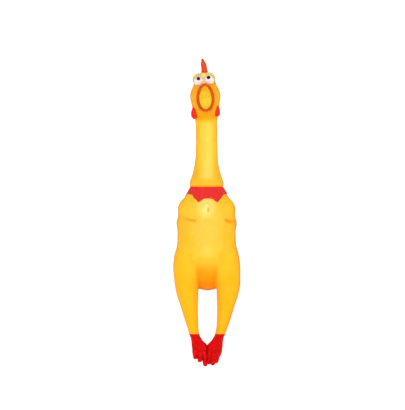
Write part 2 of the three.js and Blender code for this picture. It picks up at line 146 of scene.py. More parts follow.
def limb(p: Array, points: list[Triple], radii: list[float], soft: float = 1.0) -> Array:
    """Distance to a tapering limb: straight cones from point to point, softly joined.

    Args:
        p: Points, one per row.
        points: The limb's middle line.
        radii: The limb's radius at each of them.
        soft: Rounding where two stretches meet.

    Returns:
        Signed distances.
    """
    whole = None
    for a, b, ra, rb in zip(points[:-1], points[1:], radii[:-1], radii[1:]):
        start, run = np.array(a), np.array(b) - np.array(a)
        share = np.clip((p - start) @ run / (run @ run), 0, 1)
        d = np.linalg.norm(p - start - share[:, None] * run, axis=1) - (ra + share * (rb - ra))
        whole = d if whole is None else soft_join(whole, d, soft)
    return whole


def smooth_rows(z: Array, rows: Array) -> Array:
    """Values of a smooth curve through rows of a table: cubic Hermite, with slopes that never overshoot.

    Args:
        z: Where to read the curve.
        rows: A table whose first column rises, and whose others are the values there.

    Returns:
        One row of values for each z.
    """
    x, v = rows[:, 0], rows[:, 1:]
    h = np.diff(x)[:, None]
    secant = np.diff(v, axis=0) / h
    before, after = secant[:-1], secant[1:]
    inner = np.where(before * after > 0, 2 * before * after / (before + after + 1e-12), 0)
    slope = np.vstack([secant[:1], inner, secant[-1:]])
    i = np.clip(np.searchsorted(x, z) - 1, 0, len(x) - 2)
    t = np.clip((z - x[i]) / h[i, 0], 0, 1)[:, None]
    hi = h[i]
    return (
        v[i] * (1 + 2 * t) * (1 - t) ** 2
        + slope[i] * hi * t * (1 - t) ** 2
        + v[i + 1] * t * t * (3 - 2 * t)
        + slope[i + 1] * hi * t * t * (t - 1)
    )


@dataclass(frozen=True)
class Column:
    """An upright form of oval sections: rows of height, middle x, middle y, half width and half depth."""

    rows: tuple[tuple[float, float, float, float, float], ...]

    def at(self, z: Array) -> Array:
        """Middle x, middle y, half width and half depth at each height."""
        return smooth_rows(z, np.array(self.rows))

    def distance(self, p: Array) -> Array:
        """Distance to the column: the flat oval's, eased where the sides slope, and flat ends.

        Args:
            p: Points, one per row.

        Returns:
            Signed distances.
        """
        z = np.clip(p[:, 2], self.rows[0][0], self.rows[-1][0])
        x0, y0, rx, ry = self.at(z).T
        slope = self.at(z + 0.5)[:, 2] - self.at(z - 0.5)[:, 2]
        qx, qy = (p[:, 0] - x0) / rx, (p[:, 1] - y0) / ry
        k0 = np.hypot(qx, qy)
        k1 = np.hypot(qx / rx, qy / ry) + TINY
        flat = k0 * (k0 - 1) / k1 / np.sqrt(1 + slope * slope)
        ends = np.maximum(self.rows[0][0] - p[:, 2], p[:, 2] - self.rows[-1][0])
        return np.maximum(flat, ends)


# ---- surfaces out of fields


def full_turn(count: int) -> Array:
    """Angles evenly round a circle, from zero."""
    return np.linspace(0, 2 * math.pi, count, endpoint=False)


def gradient(shape: Field, p: Array, reach: float = 0.05) -> Array:
    """How a field changes along X, Y and Z, by differences over twice the reach."""
    steps = np.eye(3) * reach
    return np.stack([(shape(p + s) - shape(p - s)) / (2 * reach) for s in steps], axis=1)


def outward(shape: Field, p: Array) -> Array:
    """Unit normals of a field's surface."""
    g = gradient(shape, p)
    return g / (np.linalg.norm(g, axis=1, keepdims=True) + 1e-12)


def sample_near(shape: Field, low: Array, counts: Array, step: float, block: int = 5) -> Array:
    """A field on a grid, worked out only in the blocks that its surface can pass through.

    Args:
        shape: The field.
        low: The grid's lowest corner.
        counts: Grid points along X, Y and Z.
        step: Grid spacing.
        block: Grid points per block.

    Returns:
        The grid's values; away from the surface only their sign is right.
    """
    blocks = -(-counts // block)
    centres = [low[a] + (np.arange(blocks[a]) + 0.5) * block * step for a in range(3)]
    places = np.stack(np.meshgrid(*centres, indexing="ij"), -1).reshape(-1, 3)
    coarse = shape(places).reshape(blocks)
    values = coarse
    for axis in range(3):
        values = np.repeat(values, block, axis=axis)
    values = values[: counts[0], : counts[1], : counts[2]].copy()
    near = np.abs(values) < block * step * 1.6
    i, j, k = np.nonzero(near)
    values[near] = shape(low + step * np.stack([i, j, k], axis=1))
    return values


def net_surface(shape: Field, low: tuple, high: tuple, step: float) -> tuple[Array, Array]:
    """The surface where a field is zero, as a net of four-sided faces.

    Each grid cell that the surface crosses gets one point, the mean of where it cuts
    the cell's edges; the points are then slid along the field's gradient on to the
    surface. Each grid edge that it crosses gets one face, between its four cells.

    Args:
        shape: The field.
        low: Lowest corner of the room the shape stands in.
        high: Highest corner.
        step: Grid spacing.

    Returns:
        Points and faces, the faces turned outwards.
    """
    low = np.array(low, float)
    counts = np.ceil((np.array(high) - low) / step).astype(int) + 1
    v = sample_near(shape, low, counts, step)
    inside = v < 0
    corner = [(a, b, c) for a in (0, 1) for b in (0, 1) for c in (0, 1)]

    def at(grid: Array, offset: tuple[int, int, int]) -> Array:
        """The grid moved by one step along some axes, cut to the cells."""
        return grid[tuple(slice(o, o + n - 1) for o, n in zip(offset, counts))]

    total = sum(at(inside, c).astype(np.int8) for c in corner)
    cells = np.argwhere((total > 0) & (total < 8))
    number = -np.ones(counts - 1, int)
    number[tuple(cells.T)] = np.arange(len(cells))
    places = np.zeros((len(cells), 3))
    hits = np.zeros(len(cells))
    for axis in range(3):
        for c in corner:
            if c[axis]:
                continue
            a = cells + c
            b = a.copy()
            b[:, axis] += 1
            va, vb = v[tuple(a.T)], v[tuple(b.T)]
            cut = (va < 0) != (vb < 0)
            share = np.where(cut, va / np.where(cut, va - vb, 1), 0)
            point = a.astype(float)
            point[:, axis] += share
            places += point * cut[:, None]
            hits += cut
    points = low + step * places / hits[:, None]
    for _ in range(SURFACE_SLIDES):
        g = gradient(shape, points)
        size = (g * g).sum(1) + TINY
        move = (shape(points) / size)[:, None] * g
        far = np.linalg.norm(move, axis=1, keepdims=True)
        points -= move * np.minimum(1, step / (far + TINY))
    faces = []
    for axis in range(3):
        other, third = (axis + 1) % 3, (axis + 2) % 3
        start = [slice(None)] * 3
        end = [slice(None)] * 3
        start[axis], end[axis] = slice(0, -1), slice(1, None)
        first, second = inside[tuple(start)], inside[tuple(end)]
        edges = np.argwhere(first != second)
        keep = (edges[:, other] > 0) & (edges[:, third] > 0)
        keep &= (edges[:, other] < counts[other] - 1) & (edges[:, third] < counts[third] - 1)
        edges = edges[keep]
        out = first[tuple(edges.T)]
        around = []
        for o, t in ((0, 0), (1, 0), (1, 1), (0, 1)):
            cell = edges.copy()
            cell[:, other] -= 1 - o
            cell[:, third] -= 1 - t
            around.append(number[tuple(cell.T)])
        quad = np.stack(around, axis=1)
        quad[~out] = quad[~out][:, ::-1]
        faces.append(quad)
    return points, np.vstack(faces)


def grid_faces(rows: int, columns: int, closed: bool = True) -> Array:
    """Four-sided faces of a grid of points, row by row.

    Args:
        rows: Rows of points.
        columns: Points in a row.
        closed: Whether the last column joins the first.

    Returns:
        Four point numbers for each face.
    """
    i, j = np.meshgrid(np.arange(rows - 1), np.arange(columns if closed else columns - 1), indexing="ij")
    k = (j + 1) % columns
    quads = np.stack([i * columns + j, i * columns + k, (i + 1) * columns + k, (i + 1) * columns + j], -1)
    return quads.reshape(-1, 4)


# ---- pieces


@dataclass
class Shape:
    """A mesh in the making: points in millimetres, faces, and normals where they are known."""

    points: Array
    faces: list
    normals: Array | None = None


def make_piece(
    name: str, shape: Shape, material: Material, masks: dict[str, Array] | None = None
) -> bpy.types.Object:
    """Puts a shape into a new smooth-shaded object at the origin.

    Args:
        name: The piece's name.
        shape: Its mesh, in millimetres.
        material: Its finish.
        masks: Named values per point that the finish reads.

    Returns:
        The object.
    """
    mesh = bpy.data.meshes.new(name)
    faces = shape.faces if isinstance(shape.faces, list) else shape.faces.tolist()
    mesh.from_pydata((shape.points * MM).tolist(), [], faces)
    mesh.polygons.foreach_set("use_smooth", np.ones(len(mesh.polygons), bool))
    for label, values in (masks or {}).items():
        layer = mesh.attributes.new(label, "FLOAT", "POINT")
        layer.data.foreach_set("value", np.asarray(values, np.float32))
    mesh.materials.append(material)
    mesh.update()
    if shape.normals is not None:
        set_normals(mesh, shape.normals)
    piece = bpy.data.objects.new(name, mesh)
    bpy.context.scene.collection.objects.link(piece)
    return piece


def set_normals(mesh: bpy.types.Mesh, normals: Array) -> None:
    """Gives each corner its point's normal, apart from corners of flat faces with many sides.

    Args:
        mesh: The mesh.
        normals: One for each point.
    """
    starts = np.empty(len(mesh.polygons), int)
    totals = np.empty(len(mesh.polygons), int)
    mesh.polygons.foreach_get("loop_start", starts)
    mesh.polygons.foreach_get("loop_total", totals)
    owners = np.empty(len(mesh.loops), int)
    mesh.loops.foreach_get("vertex_index", owners)
    flat = np.empty(len(mesh.polygons) * 3)
    mesh.polygons.foreach_get("normal", flat)
    corner_normals = normals[owners]
    wide = np.repeat(totals > MOST_NET_SIDES, totals)
    corner_normals[wide] = np.repeat(flat.reshape(-1, 3), totals, axis=0)[wide]
    mesh.normals_split_custom_set(corner_normals.tolist())


def read_out(mesh: bmesh.types.BMesh) -> tuple[Array, list]:
    """Reads a working mesh and frees it.

    Args:
        mesh: The mesh.

    Returns:
        Its points, and the point numbers of its faces.
    """
    mesh.verts.index_update()
    points = np.array([v.co[:] for v in mesh.verts])
    faces = [[v.index for v in f.verts] for f in mesh.faces]
    mesh.free()
    return points, faces


def slice_levels(shape: Shape, levels: list[float]) -> Shape:
    """Cuts a mesh exactly along level planes, keeping all of it.

    Args:
        shape: The mesh.
        levels: Heights of the planes.

    Returns:
        The mesh with new edges on each plane.
    """
    mesh = bmesh.new()
    data = bpy.data.meshes.new("slicing")
    data.from_pydata(shape.points.tolist(), [], shape.faces.tolist())
    mesh.from_mesh(data)
    for z in levels:
        geometry = mesh.verts[:] + mesh.edges[:] + mesh.faces[:]
        bmesh.ops.bisect_plane(mesh, geom=geometry, dist=1e-4, plane_co=(0, 0, z), plane_no=(0, 0, 1))
    bpy.data.meshes.remove(data)
    return Shape(*read_out(mesh))


def part_between(shape: Shape, low: float, high: float, side: int, normal_of: Field) -> Shape:
    """The stretch of a sliced mesh between two levels, capped flat at its cuts.

    Args:
        shape: The sliced mesh.
        low: Lower level.
        high: Upper level.
        side: 1 or -1 for the half with x of that sign, 0 for both.
        normal_of: Gives the skin's normals at points.

    Returns:
        A closed mesh with normals.
    """
    centres = np.array([shape.points[f].mean(0) for f in shape.faces])
    keep = (centres[:, 2] > low) & (centres[:, 2] < high)
    if side:
        keep &= centres[:, 0] * side > 0
    chosen = [f for f, k in zip(shape.faces, keep) if k]
    used = np.unique(np.concatenate([np.array(f) for f in chosen]))
    renumber = {int(old): new for new, old in enumerate(used)}
    mesh = bmesh.new()
    verts = [mesh.verts.new(co) for co in shape.points[used]]
    for f in chosen:
        mesh.faces.new([verts[renumber[i]] for i in f])
    open_edges = [e for e in mesh.edges if len(e.link_faces) == 1]
    bmesh.ops.holes_fill(mesh, edges=open_edges, sides=0)
    points, faces = read_out(mesh)
    return Shape(points, faces, normal_of(points))


# ---- the bird's shape


def mirrored(p: Array, side: int) -> Array:
    """Points with x turned over for the bird's right, so that one half serves both sides."""
    return p * np.array([side, 1, 1])


@dataclass
class Torso:
    """Chest, belly, rump, folded wings, tail and thighs."""

    trunk: Column = Column((
        (-67.7, 0, 8.4, 1.5, 1.4),
        (-65.6, 0, 7.4, 9.6, 10.8),
        (-58.0, 0, 5.1, 16.5, 17.8),
        (-47.9, 0, 2.4, 22.2, 22.4),
        (-35.0, 0, 0.0, 27.0, 25.4),
        (-20.0, 0, -1.5, 30.6, 27.0),
        (-5.0, 0, -2.0, 30.2, 27.0),
        (8.0, 0, -1.9, 29.4, 25.9),
        (18.0, 0, -1.4, 27.9, 23.8),
        (27.0, 0, -0.5, 24.6, 20.5),
        (34.0, 0, 0.0, 20.3, 17.6),
        (42.5, 0, 0.0, 15.4, 14.6),
    ))
    feathers: int = 4
    vertebrae: int = 8
    lumps: tuple[Triple, ...] = (  # x, z and size, on the front
        (1.2, -27.0, 3.4), (-12.6, -22.8, 2.8), (15.2, -21.0, 3.0), (0.4, 0.8, 2.2), (-7.0, -9.0, 2.0),
    )
    right_crease: tuple[Triple, ...] = ((27.0, -16.0, 9.0), (19.5, -22.0, 7.0), (11.8, -25.6, 5.2))
    left_crease: tuple[Triple, ...] = ((29.6, -12.5, 4.2), (25.2, -18.2, 4.6), (20.6, -21.9, 5.6))
    fold: tuple[Triple, ...] = ((17.5, -24.6, -31.0), (13.0, -23.5, -45.0), (9.2, -15.5, -64.0))
    under_belly: tuple[Triple, ...] = ((-14.0, -24.4, -31.5), (0.0, -26.6, -37.0), (14.0, -24.4, -31.5))

    def crease(self, side: int) -> list[Triple]:
        """The crease under the wing's front, as if on the +X side."""
        return list(self.left_crease if side > 0 else self.right_crease)

    def wing(self, p: Array) -> Array:
        """A folded wing of the +X side: upper arm, forearm, and flight feathers that sweep back.

        Args:
            p: Points, one per row.

        Returns:
            Signed distances.
        """
        upper_arm = egg(p, (21.0, -2.0, 16.5), (9.0, 13.5, 12.0))
        forearm = egg(p, (24.0, 0.5, 2.0), (7.4, 15.5, 11.0))
        d = soft_join(upper_arm, forearm, 3.5)
        for i in range(self.feathers):
            drop = 4.6 * i
            x0 = 27.2 - 0.75 * i
            root, middle = (x0, 3.0, 3.5 - drop), (x0 - 1.5, 14.0, -3.5 - drop * 1.15)
            line = [root, middle, (19.0, 22.5, -11.0 - drop * 1.3)]
            d = soft_join(d, limb(p, line, [4.2, 3.7, 2.4], 3.0), 0.7)
        return d

    def thigh(self, p: Array) -> Array:
        """The round top of the +X thigh."""
        return egg(p, (19.4, -3.6, -38.5), (15.0, 17.4, 24.5))

    def back(self, p: Array) -> Array:
        """A spine of low knobs, ending in a tail of three feathers.

        Args:
            p: Points, one per row.

        Returns:
            Signed distances.
        """
        d = limb(p, [(0, 11, -38), (0, 25, -48)], [9.5, 5.2])
        for x in (-4.0, 0.0, 4.0):
            feather = [(x * 0.6, 22, -46), (x * 1.4, 30.0, -51.5 + abs(x) * 0.5)]
            d = soft_join(d, limb(p, feather, [3.2, 2.0]), 0.8)
        for i in range(self.vertebrae):
            z = 24.0 - 7.4 * i
            y0, ry = self.trunk.at(np.array([z]))[0, [1, 3]]
            d = soft_join(d, egg(p, (0, y0 + ry - 0.6, z), (2.6, 1.8, 3.0)), 2.2)
        return d

    def distance(self, p: Array) -> Array:
        """The whole torso, both sides.

        Args:
            p: Points, one per row.

        Returns:
            Signed distances.
        """
        d = self.trunk.distance(p)
        for side in (1, -1):
            q = mirrored(p, side)
            d = soft_join(d, self.thigh(q), 3.0)
            d = soft_join(d, LEG.distance(q), 3.0)
            d = soft_join(d, self.wing(q), 1.6)
            d = soft_cut(d, limb(q, self.crease(side), [1.1, 0.9, 0.3]), 1.4)
            d = soft_cut(d, limb(q, list(self.fold), [0.4, 1.5, 1.5]), 2.6)
        d = soft_join(d, self.back(p), 3.0)
        d = soft_cut(d, limb(p, list(self.under_belly), [0.2, 0.5, 0.2]), 3.0)
        keel = egg(p, (-0.2, -25.0, 17.4), (4.6, 2.6, 6.0))
        groove = egg(p, (1.6, -27.4, 17.0), (0.8, 1.6, 3.4))
        for x, z, size in self.lumps:
            y0, ry = self.trunk.at(np.array([z]))[0, [1, 3]]
            front = y0 - ry * math.sqrt(1 - (x / 30.0) ** 2)
            d = soft_join(d, egg(p, (x, front + 0.5 * size, z), (size, size * 0.55, size * 1.25)), 4.0)
        return soft_cut(soft_join(d, keel, 1.6), groove, 0.7)


@dataclass
class Leg:
    """The +X leg, from inside the thigh down to the ankle."""

    shank: Column = Column((
        (-114.5, 12.8, -3.0, 4.7, 6.3),
        (-112.3, 13.6, -3.0, 4.8, 6.5),
        (-108.5, 14.6, -3.0, 5.3, 7.0),
        (-104.0, 15.6, -3.0, 6.1, 7.7),
        (-94.7, 17.3, -3.3, 7.4, 8.9),
        (-82.7, 19.2, -3.8, 9.2, 10.9),
        (-70.7, 20.9, -4.3, 11.4, 12.9),
        (-57.8, 21.8, -4.9, 12.6, 14.5),
        (-45.0, 21.4, -5.0, 13.1, 15.5),
        (-30.0, 19.0, -4.2, 11.0, 14.5),
    ))

    def distance(self, p: Array) -> Array:
        """Distance to the leg, for points on its side of the bird."""
        return self.shank.distance(p)


LEG = Leg()


@dataclass
class Toes:
    """Where a foot's toes end: how far out from the midline, and how low."""

    outer: tuple[float, float]
    middle: tuple[float, float]
    inner: tuple[float, float]
    knuckles: Triple = (11.9, 7.6, 3.3)
    forward: Triple = (-8.6, -10.2, -8.2)


@dataclass
class Foot:
    """One foot, hanging with its toes down, pressed against the other at the midline."""

    side: int
    toes: Toes
    palm: Column = Column((
        (-136.0, 6.8, -6.0, 6.9, 2.8),
        (-130.5, 7.4, -5.5, 8.0, 3.9),
        (-125.0, 7.9, -4.7, 8.2, 4.9),
        (-119.0, 10.7, -3.9, 5.9, 5.8),
        (-113.5, 13.2, -3.2, 4.8, 6.4),
        (-109.0, 14.5, -3.0, 5.1, 6.8),
    ))

    def distance(self, p: Array) -> Array:
        """Palm, three front toes with knuckles, a hind toe, and the leg's end.

        Args:
            p: Points, one per row.

        Returns:
            Signed distances.
        """
        q = mirrored(p, self.side)
        d = soft_join(LEG.distance(q), self.palm.distance(q), 2.0)
        tips = (self.toes.outer, self.toes.middle, self.toes.inner)
        for knuckle_x, (tip_x, tip_z), tip_y in zip(self.toes.knuckles, tips, self.toes.forward):
            tip = np.array([tip_x, tip_y, tip_z + 1.9])
            knuckle = np.array([knuckle_x, -5.6, -126.5])
            middle = (tip + knuckle) / 2 + np.array([0.2, -1.6, 0.6])
            d = soft_join(d, limb(q, [tuple(knuckle), tuple(middle), tuple(tip)], [3.1, 2.9, 2.5], 2.0), 0.8)
            for share in (0.30, 0.62, 0.9):
                arch = -1.9 - 1.2 * (1 - abs(2 * share - 1))
                place = knuckle + share * (tip - knuckle) + np.array([0.1, arch, 0.3])
                d = soft_join(d, egg(q, tuple(place), (2.1, 1.7, 1.6)), 1.0)
        hind = [(9.0, 0.5, -119.0), (9.4, 6.0, -123.5), (9.7, 8.0, -129.5)]
        d = soft_join(d, limb(q, hind, [3.4, 2.7, 1.7], 2.0), 2.0)
        wave = self.side * 0.5 * np.sin(0.6 * q[:, 1])  # the soles press into each other, so no light passes
        return np.maximum(d, 0.05 + wave - q[:, 0])


FEET = {
    1: Foot(1, Toes(outer=(9.4, -142.3), middle=(5.8, -144.6), inner=(1.6, -143.4))),
    -1: Foot(-1, Toes(outer=(12.3, -138.2), middle=(7.6, -141.2), inner=(2.0, -145.6))),
}


@dataclass
class Neck:
    """The neck, whose flared foot ends in a round lip over the collar."""

    tube: Column = Column((
        (39.9, 0, 0, 15.6, 15.2),
        (40.5, 0, 0, 16.8, 16.4),
        (41.8, 0, 0, 17.6, 17.2),
        (44.2, 0, 0, 17.8, 17.4),
        (46.6, 0, 0, 17.2, 16.9),
        (49.0, 0, 0, 16.4, 16.1),
        (54.9, 0, 0, 14.5, 14.3),
        (60.0, 0, 0, 13.2, 13.0),
        (66.0, 0, 0, 12.2, 12.0),
        (74.0, 0, 0, 11.5, 11.4),
        (92.0, 0, 0, 11.1, 11.0),
        (110.0, 0, 0, 10.6, 10.4),
    ))

    def distance(self, p: Array) -> Array:
        """Distance to the neck."""
        return self.tube.distance(p)


@dataclass
class Head:
    """Skull, cheeks, brows and the wide open beak, reckoned upright and then leaned about the neck's top."""

    skull: Column = Column((
        (94.0, 0, 0.0, 10.3, 10.3),
        (104.0, 0, 0.0, 10.5, 10.8),
        (110.5, 0, 0.0, 11.2, 11.8),
        (116.2, 0, -0.8, 12.6, 13.2),
        (123.3, 0, -1.2, 13.4, 15.2),
        (130.3, 0, -1.0, 14.0, 16.6),
        (136.1, 0, -0.3, 14.4, 17.0),
        (141.8, 0, 0.3, 13.5, 16.8),
        (147.0, 0, 1.6, 12.0, 14.8),
        (152.1, 0, 2.4, 10.6, 12.4),
        (156.2, 0, 2.2, 8.4, 10.4),
        (159.1, 0, 1.4, 5.4, 8.0),
        (160.2, 0, 1.5, 1.2, 1.6),
    ))
    eye_spacing: float = 10.6
    eye_radius: float = 5.6
    eye_y: float = -11.2
    eye_z: float = 151.3
    eye_shift: float = -0.8
    lid_rise: float = 1.5
    lid_opening: float = 5.15
    low_bridge: float = 0.75
    mouth_x: float = 0.05
    mouth_z: float = 132.6
    rim_half_width: float = 8.4
    rim_half_height: float = 14.3
    rim_radius: float = 1.55
    rim_share: float = 0.925  # of the rim's size where its tube runs
    corner_y: float = -16.0
    tip_reach: float = 8.5
    mouth_depth: float = 10.5
    mouth_share: float = 0.87  # of the rim's size that is open
    lining_wall: float = 0.8
    lid_radius: float = 6.7
    socket_radius: float = 5.75
    narrowing: float = 0.07  # of the mouth's width, towards its top
    beak_flare: tuple[tuple[float, float], ...] = (  # depth and share of the rim's size
        (-4, 0.99), (0, 1.02), (4, 1.09), (9, 1.28), (15, 1.55), (26, 1.9),
    )

    def upright(self, p: Array) -> Array:
        """Row-frame points as they would be if the head didn't lean."""
        return self.turned(p, -1)

    def leaned(self, p: Array) -> Array:
        """The upright head's points where the lean puts them."""
        return self.turned(p, 1)

    def turned(self, p: Array, way: int) -> Array:
        """Points turned by the lean about a line along Y through the top of the neck.

        Args:
            p: Points, one per row.
            way: 1 to lean, -1 to undo it.

        Returns:
            The turned points.
        """
        c, s = math.cos(HEAD_LEAN), math.sin(HEAD_LEAN) * way
        x, z = p[:, 0], p[:, 2] - HEAD_Z
        return np.stack([x * c - z * s, p[:, 1], x * s + z * c + HEAD_Z], axis=1)

    def eye_middle(self, side: int) -> Triple:
        """Middle of an eyeball, upright."""
        return (self.eye_shift + side * self.eye_spacing / 2, self.eye_y, self.eye_z + 0.3 * side)

    def rim_place(self, angle: Array, size: float = 1.0, depth: Array | float = 0.0) -> Array:
        """Points in the mouth's own measure, upright.

        The oval (a sin t, b cos t), narrower above, that stands forward by the square
        of cos t, so that the beak's tips lead and its corners lie back.

        Args:
            angle: t, from the top towards +X.
            size: Share of the rim's size.
            depth: How far behind the rim.

        Returns:
            Points, one per angle.
        """
        narrow = 1 - self.narrowing * np.cos(angle)
        x = self.mouth_x + self.rim_half_width * size * np.sin(angle) * narrow
        z = self.mouth_z + self.rim_half_height * size * np.cos(angle)
        y = self.corner_y - self.tip_reach * np.cos(angle) ** 2 + depth
        return np.stack([x, y + np.zeros_like(x), z], axis=1)

    def mouth_measure(self, q: Array) -> tuple[Array, Array, Array]:
        """The mouth's own measure, rim_place turned round.

        Args:
            q: Upright points, one per row.

        Returns:
            Share of the rim's size, depth behind the rim, and the rim's radius that way.
        """
        up = (q[:, 2] - self.mouth_z) / self.rim_half_height
        across = (q[:, 0] - self.mouth_x) / self.rim_half_width
        size = np.hypot(up, across) + TINY
        cosine = up / size
        across = across / (1 - self.narrowing * cosine)
        size = np.hypot(up, across) + TINY
        cosine = up / size
        depth = q[:, 1] - self.corner_y + self.tip_reach * cosine**2 * np.clip(size, 0, 1.3)
        radius = np.hypot(self.rim_half_width * np.sqrt(1 - cosine**2), self.rim_half_height * cosine)
        return size, depth, radius

    def beak(self, q: Array) -> Array:
        """The beak's outside: the rim's oval, growing wider with depth.

        Args:
            q: Upright points, one per row.

        Returns:
            Signed distances, not quite true ones.
        """
        size, depth, radius = self.mouth_measure(q)
        wide = smooth_rows(np.clip(depth, -4, 26), np.array(self.beak_flare))[:, 0]
        rise = np.clip((q[:, 2] - self.mouth_z) / (radius * size + TINY), 0, 1)
        wide = 1 + (wide - 1) * (1 - self.low_bridge * rise**2)
        side = (size - wide) * radius * 0.9
        return np.maximum(np.maximum(side, -0.2 - depth), q[:, 1] + 1)

    def hollow(self, q: Array) -> Array:
        """The room for the mouth's lining: half an egg whose brim is the rim, with its wall added behind.

        Args:
            q: Upright points, one per row.

        Returns:
            Signed distances, not quite true ones.
        """
        size, depth, radius = self.mouth_measure(q)
        k = np.hypot(size / self.mouth_share, np.maximum(depth, 0) / self.mouth_depth)
        return (k - 1) * radius * 0.8 - self.lining_wall * 1.5 * np.clip(depth / 6, 0, 1)

    def distance(self, p: Array) -> Array:
        """The head without its comb, wattles, eyes and rim.

        Args:
            p: Points, one per row.

        Returns:
            Signed distances.
        """
        q = self.upright(p)
        d = self.skull.distance(q)
        d = soft_join(d, self.beak(q), 4.0)
        for side in (1, -1):
            x, y, z = self.eye_middle(side)
            d = soft_join(d, egg(q, (x + side * 0.2, y + 2.8, z + 1.3), (6.3, 6.6, 6.5)), 1.6)
            lid = np.maximum(egg(q, (x, y, z), (self.lid_radius,) * 3), z + self.lid_rise - q[:, 2])
            lid = np.maximum(lid, self.lid_opening - np.hypot(q[:, 0] - x, q[:, 2] - z + 0.4))
            d = soft_join(d, lid, 0.8)
            d = soft_join(d, egg(q, (side * 8.1 + 0.2, 1.5, 135.4), (6.0, 8.0, 7.8)), 5.0)
        x, y, z = self.eye_shift, self.eye_y, self.eye_z
        between = limb(q, [(x, y - 1.6, z - 4.0), (x, y - 2.0, z), (x, y - 0.4, z + 5.2)], [1.7, 1.9, 2.3])
        d = soft_join(d, between, 1.4)
        for side in (1, -1):
            d = soft_cut(d, egg(q, self.eye_middle(side), (self.socket_radius,) * 3), 0.5)
        return soft_cut(d, self.hollow(q), 0.5)


TORSO, NECK, HEAD = Torso(), Neck(), Head()


def ease(value: Array, start: float, end: float) -> Array:
    """0 before start, 1 after end, and a smooth S between; start may be above end."""
    t = np.clip((value - start) / (end - start), 0, 1)
    return t * t * (3 - 2 * t)


def set_aside(p: Array) -> Array:
    """Points moved back by the legs' set: the rump and legs hang a little towards the bird's left.

    Args:
        p: Points, one per row.

    Returns:
        The points where the symmetrical legs' field knows them.
    """
    z = p[:, 2]
    aside = 0.95 * ease(z, -38, -66) - 0.4 * ease(z, -100, -114)
    return p - aside[:, None] * np.array([1.0, 0, 0])


def torso_shape(p: Array) -> Array:
    """The torso up into the neck's foot."""
    return soft_join(TORSO.distance(set_aside(p)), NECK.distance(p), 0.4)


def neck_shape(p: Array) -> Array:
    """The neck with the head's beginning and the torso's top."""
    d = soft_join(TORSO.trunk.distance(p), NECK.distance(p), 0.4)
    return soft_join(d, HEAD.skull.distance(HEAD.upright(p)), 2.0)


def head_shape(p: Array) -> Array:
    """The head with the neck's top."""
    return soft_join(HEAD.distance(p), NECK.distance(p), 2.0)


def leg_shape(side: int) -> Field:
    """One leg: the torso's own surface down to the shin, then the foot's.

    Args:
        side: 1 for the bird's left, -1 for its right.

    Returns:
        The leg's field.
    """

    def shape(p: Array) -> Array:
        """Both fields agree at the shin, where only the leg is near."""
        q = set_aside(p)
        return np.where(q[:, 2] < SHIN_Z, FEET[side].distance(q), TORSO.distance(q))

    return shape


# ---- sprayed orange, painted shade and painted highlights, as masks on the skin


def haze(distance: Array, reach: float) -> Array:
    """A falloff for sprayed orange, painted shade and painted highlights: 1 on the line, fading as a bell of
    this reach.
    """
    return np.exp(-((np.maximum(distance, 0) / reach) ** 2))


# sprayed orange with painted shade, stronger on the bird's left
LEFT_SPRAY_AND_SHADE, RIGHT_SPRAY_AND_SHADE = (1.0, 0.90, 0.60), (0.45, 0.52, 0.35)  # in the crease, on the flank, in the armpit
FLANK_LINE = [(31, -5, 12), (32, -4, -6), (33, -3, -30), (35, -5, -48), (31, -4, -75), (22, -3, -108)]
ARMPIT_LINE = [(30.5, -8, 17), (31.0, -8, 1)]


def orange_spray_and_shade(p: Array) -> Array:
    """How much orange is laid on: the most of hazes over hollows, creases, flanks, jaw and beak; partly the
    toy's sprayed orange, partly painted shade in the creases, under the neck's lip and the chin, beside the
    beak's rim and down the flanks.

    Args:
        p: Points, one per row.

    Returns:
        Shares from 0 to 1.
    """
    x, y, z = p.T
    # sprayed orange with painted shade on the rump between the thighs
    rump = ease(z, -31, -50) * (1 - ease(np.abs(x) - 0.12 * (z + 64), 7, 12.5)) * ease(z, -80, -70)
    orange_and_shade = rump * (0.80 + 0.15 * ease(z, -45, -60))
    for side in (1, -1):
        q = mirrored(p, side)
        in_crease, on_flank, in_armpit = LEFT_SPRAY_AND_SHADE if side > 0 else RIGHT_SPRAY_AND_SHADE
        # painted shade in the crease under the wing and the fold by the thigh; sprayed orange with painted shade
        # on the flank and in the armpit
        orange_and_shade = np.maximum(orange_and_shade, in_crease * haze(limb(q, TORSO.crease(side), [0.1] * 3), 2.4))
        orange_and_shade = np.maximum(orange_and_shade, 0.55 * haze(limb(q, list(TORSO.fold), [0.1] * 3), 3.2))
        flank = on_flank * (0.45 + 0.55 * ease(z, 12, -30))
        orange_and_shade = np.maximum(orange_and_shade, flank * haze(limb(q, FLANK_LINE, [0.1] * 6), 9.0))
        orange_and_shade = np.maximum(orange_and_shade, in_armpit * haze(limb(q, ARMPIT_LINE, [1.0, 1.4]), 5.0))
    orange_and_shade = np.maximum(orange_and_shade, 0.26 * ease(z, -25, -65) + 0.12 * ease(-np.abs(z + 5), -30, -10))
    # sprayed orange with painted shade down the sides of the neck
    orange_and_shade = np.maximum(orange_and_shade, 0.30 * ease(np.abs(x), 5, 11.5) * ease(z, 44, 50) * (1 - ease(z, 104, 112)))
    # painted shadow under the neck's lip, and painted shade round the neck's foot
    lip = 0.8 * haze(np.abs(z - 40.8), 1.3) * (np.hypot(x, y) > 14.5)
    orange_and_shade = np.maximum(orange_and_shade, np.maximum(lip, 0.22 * haze(np.abs(z - 44), 5.0)))
    q = HEAD.upright(p)
    on_head = ease(q[:, 2], 104, 114)
    size = HEAD.mouth_measure(q)[0]
    # painted shade where the beak turns back beside its rim
    beak = haze((size - 1.0) * 9, 4.0) * (q[:, 1] < 0)
    cheeks = (0.42 - 0.20 * ease(q[:, 0], -6, 8)) * ease(q[:, 2], 116, 126) * (1 - ease(q[:, 2], 144, 153))
    # painted shade under the chin
    chin = 0.75 * haze(np.abs(q[:, 2] - 113.5), 6.0) * ease(q[:, 1], 2, -6)
    head = np.maximum.reduce([0.85 * beak, cheeks, chin])
    return np.clip(np.maximum(orange_and_shade, on_head * head), 0, 1)


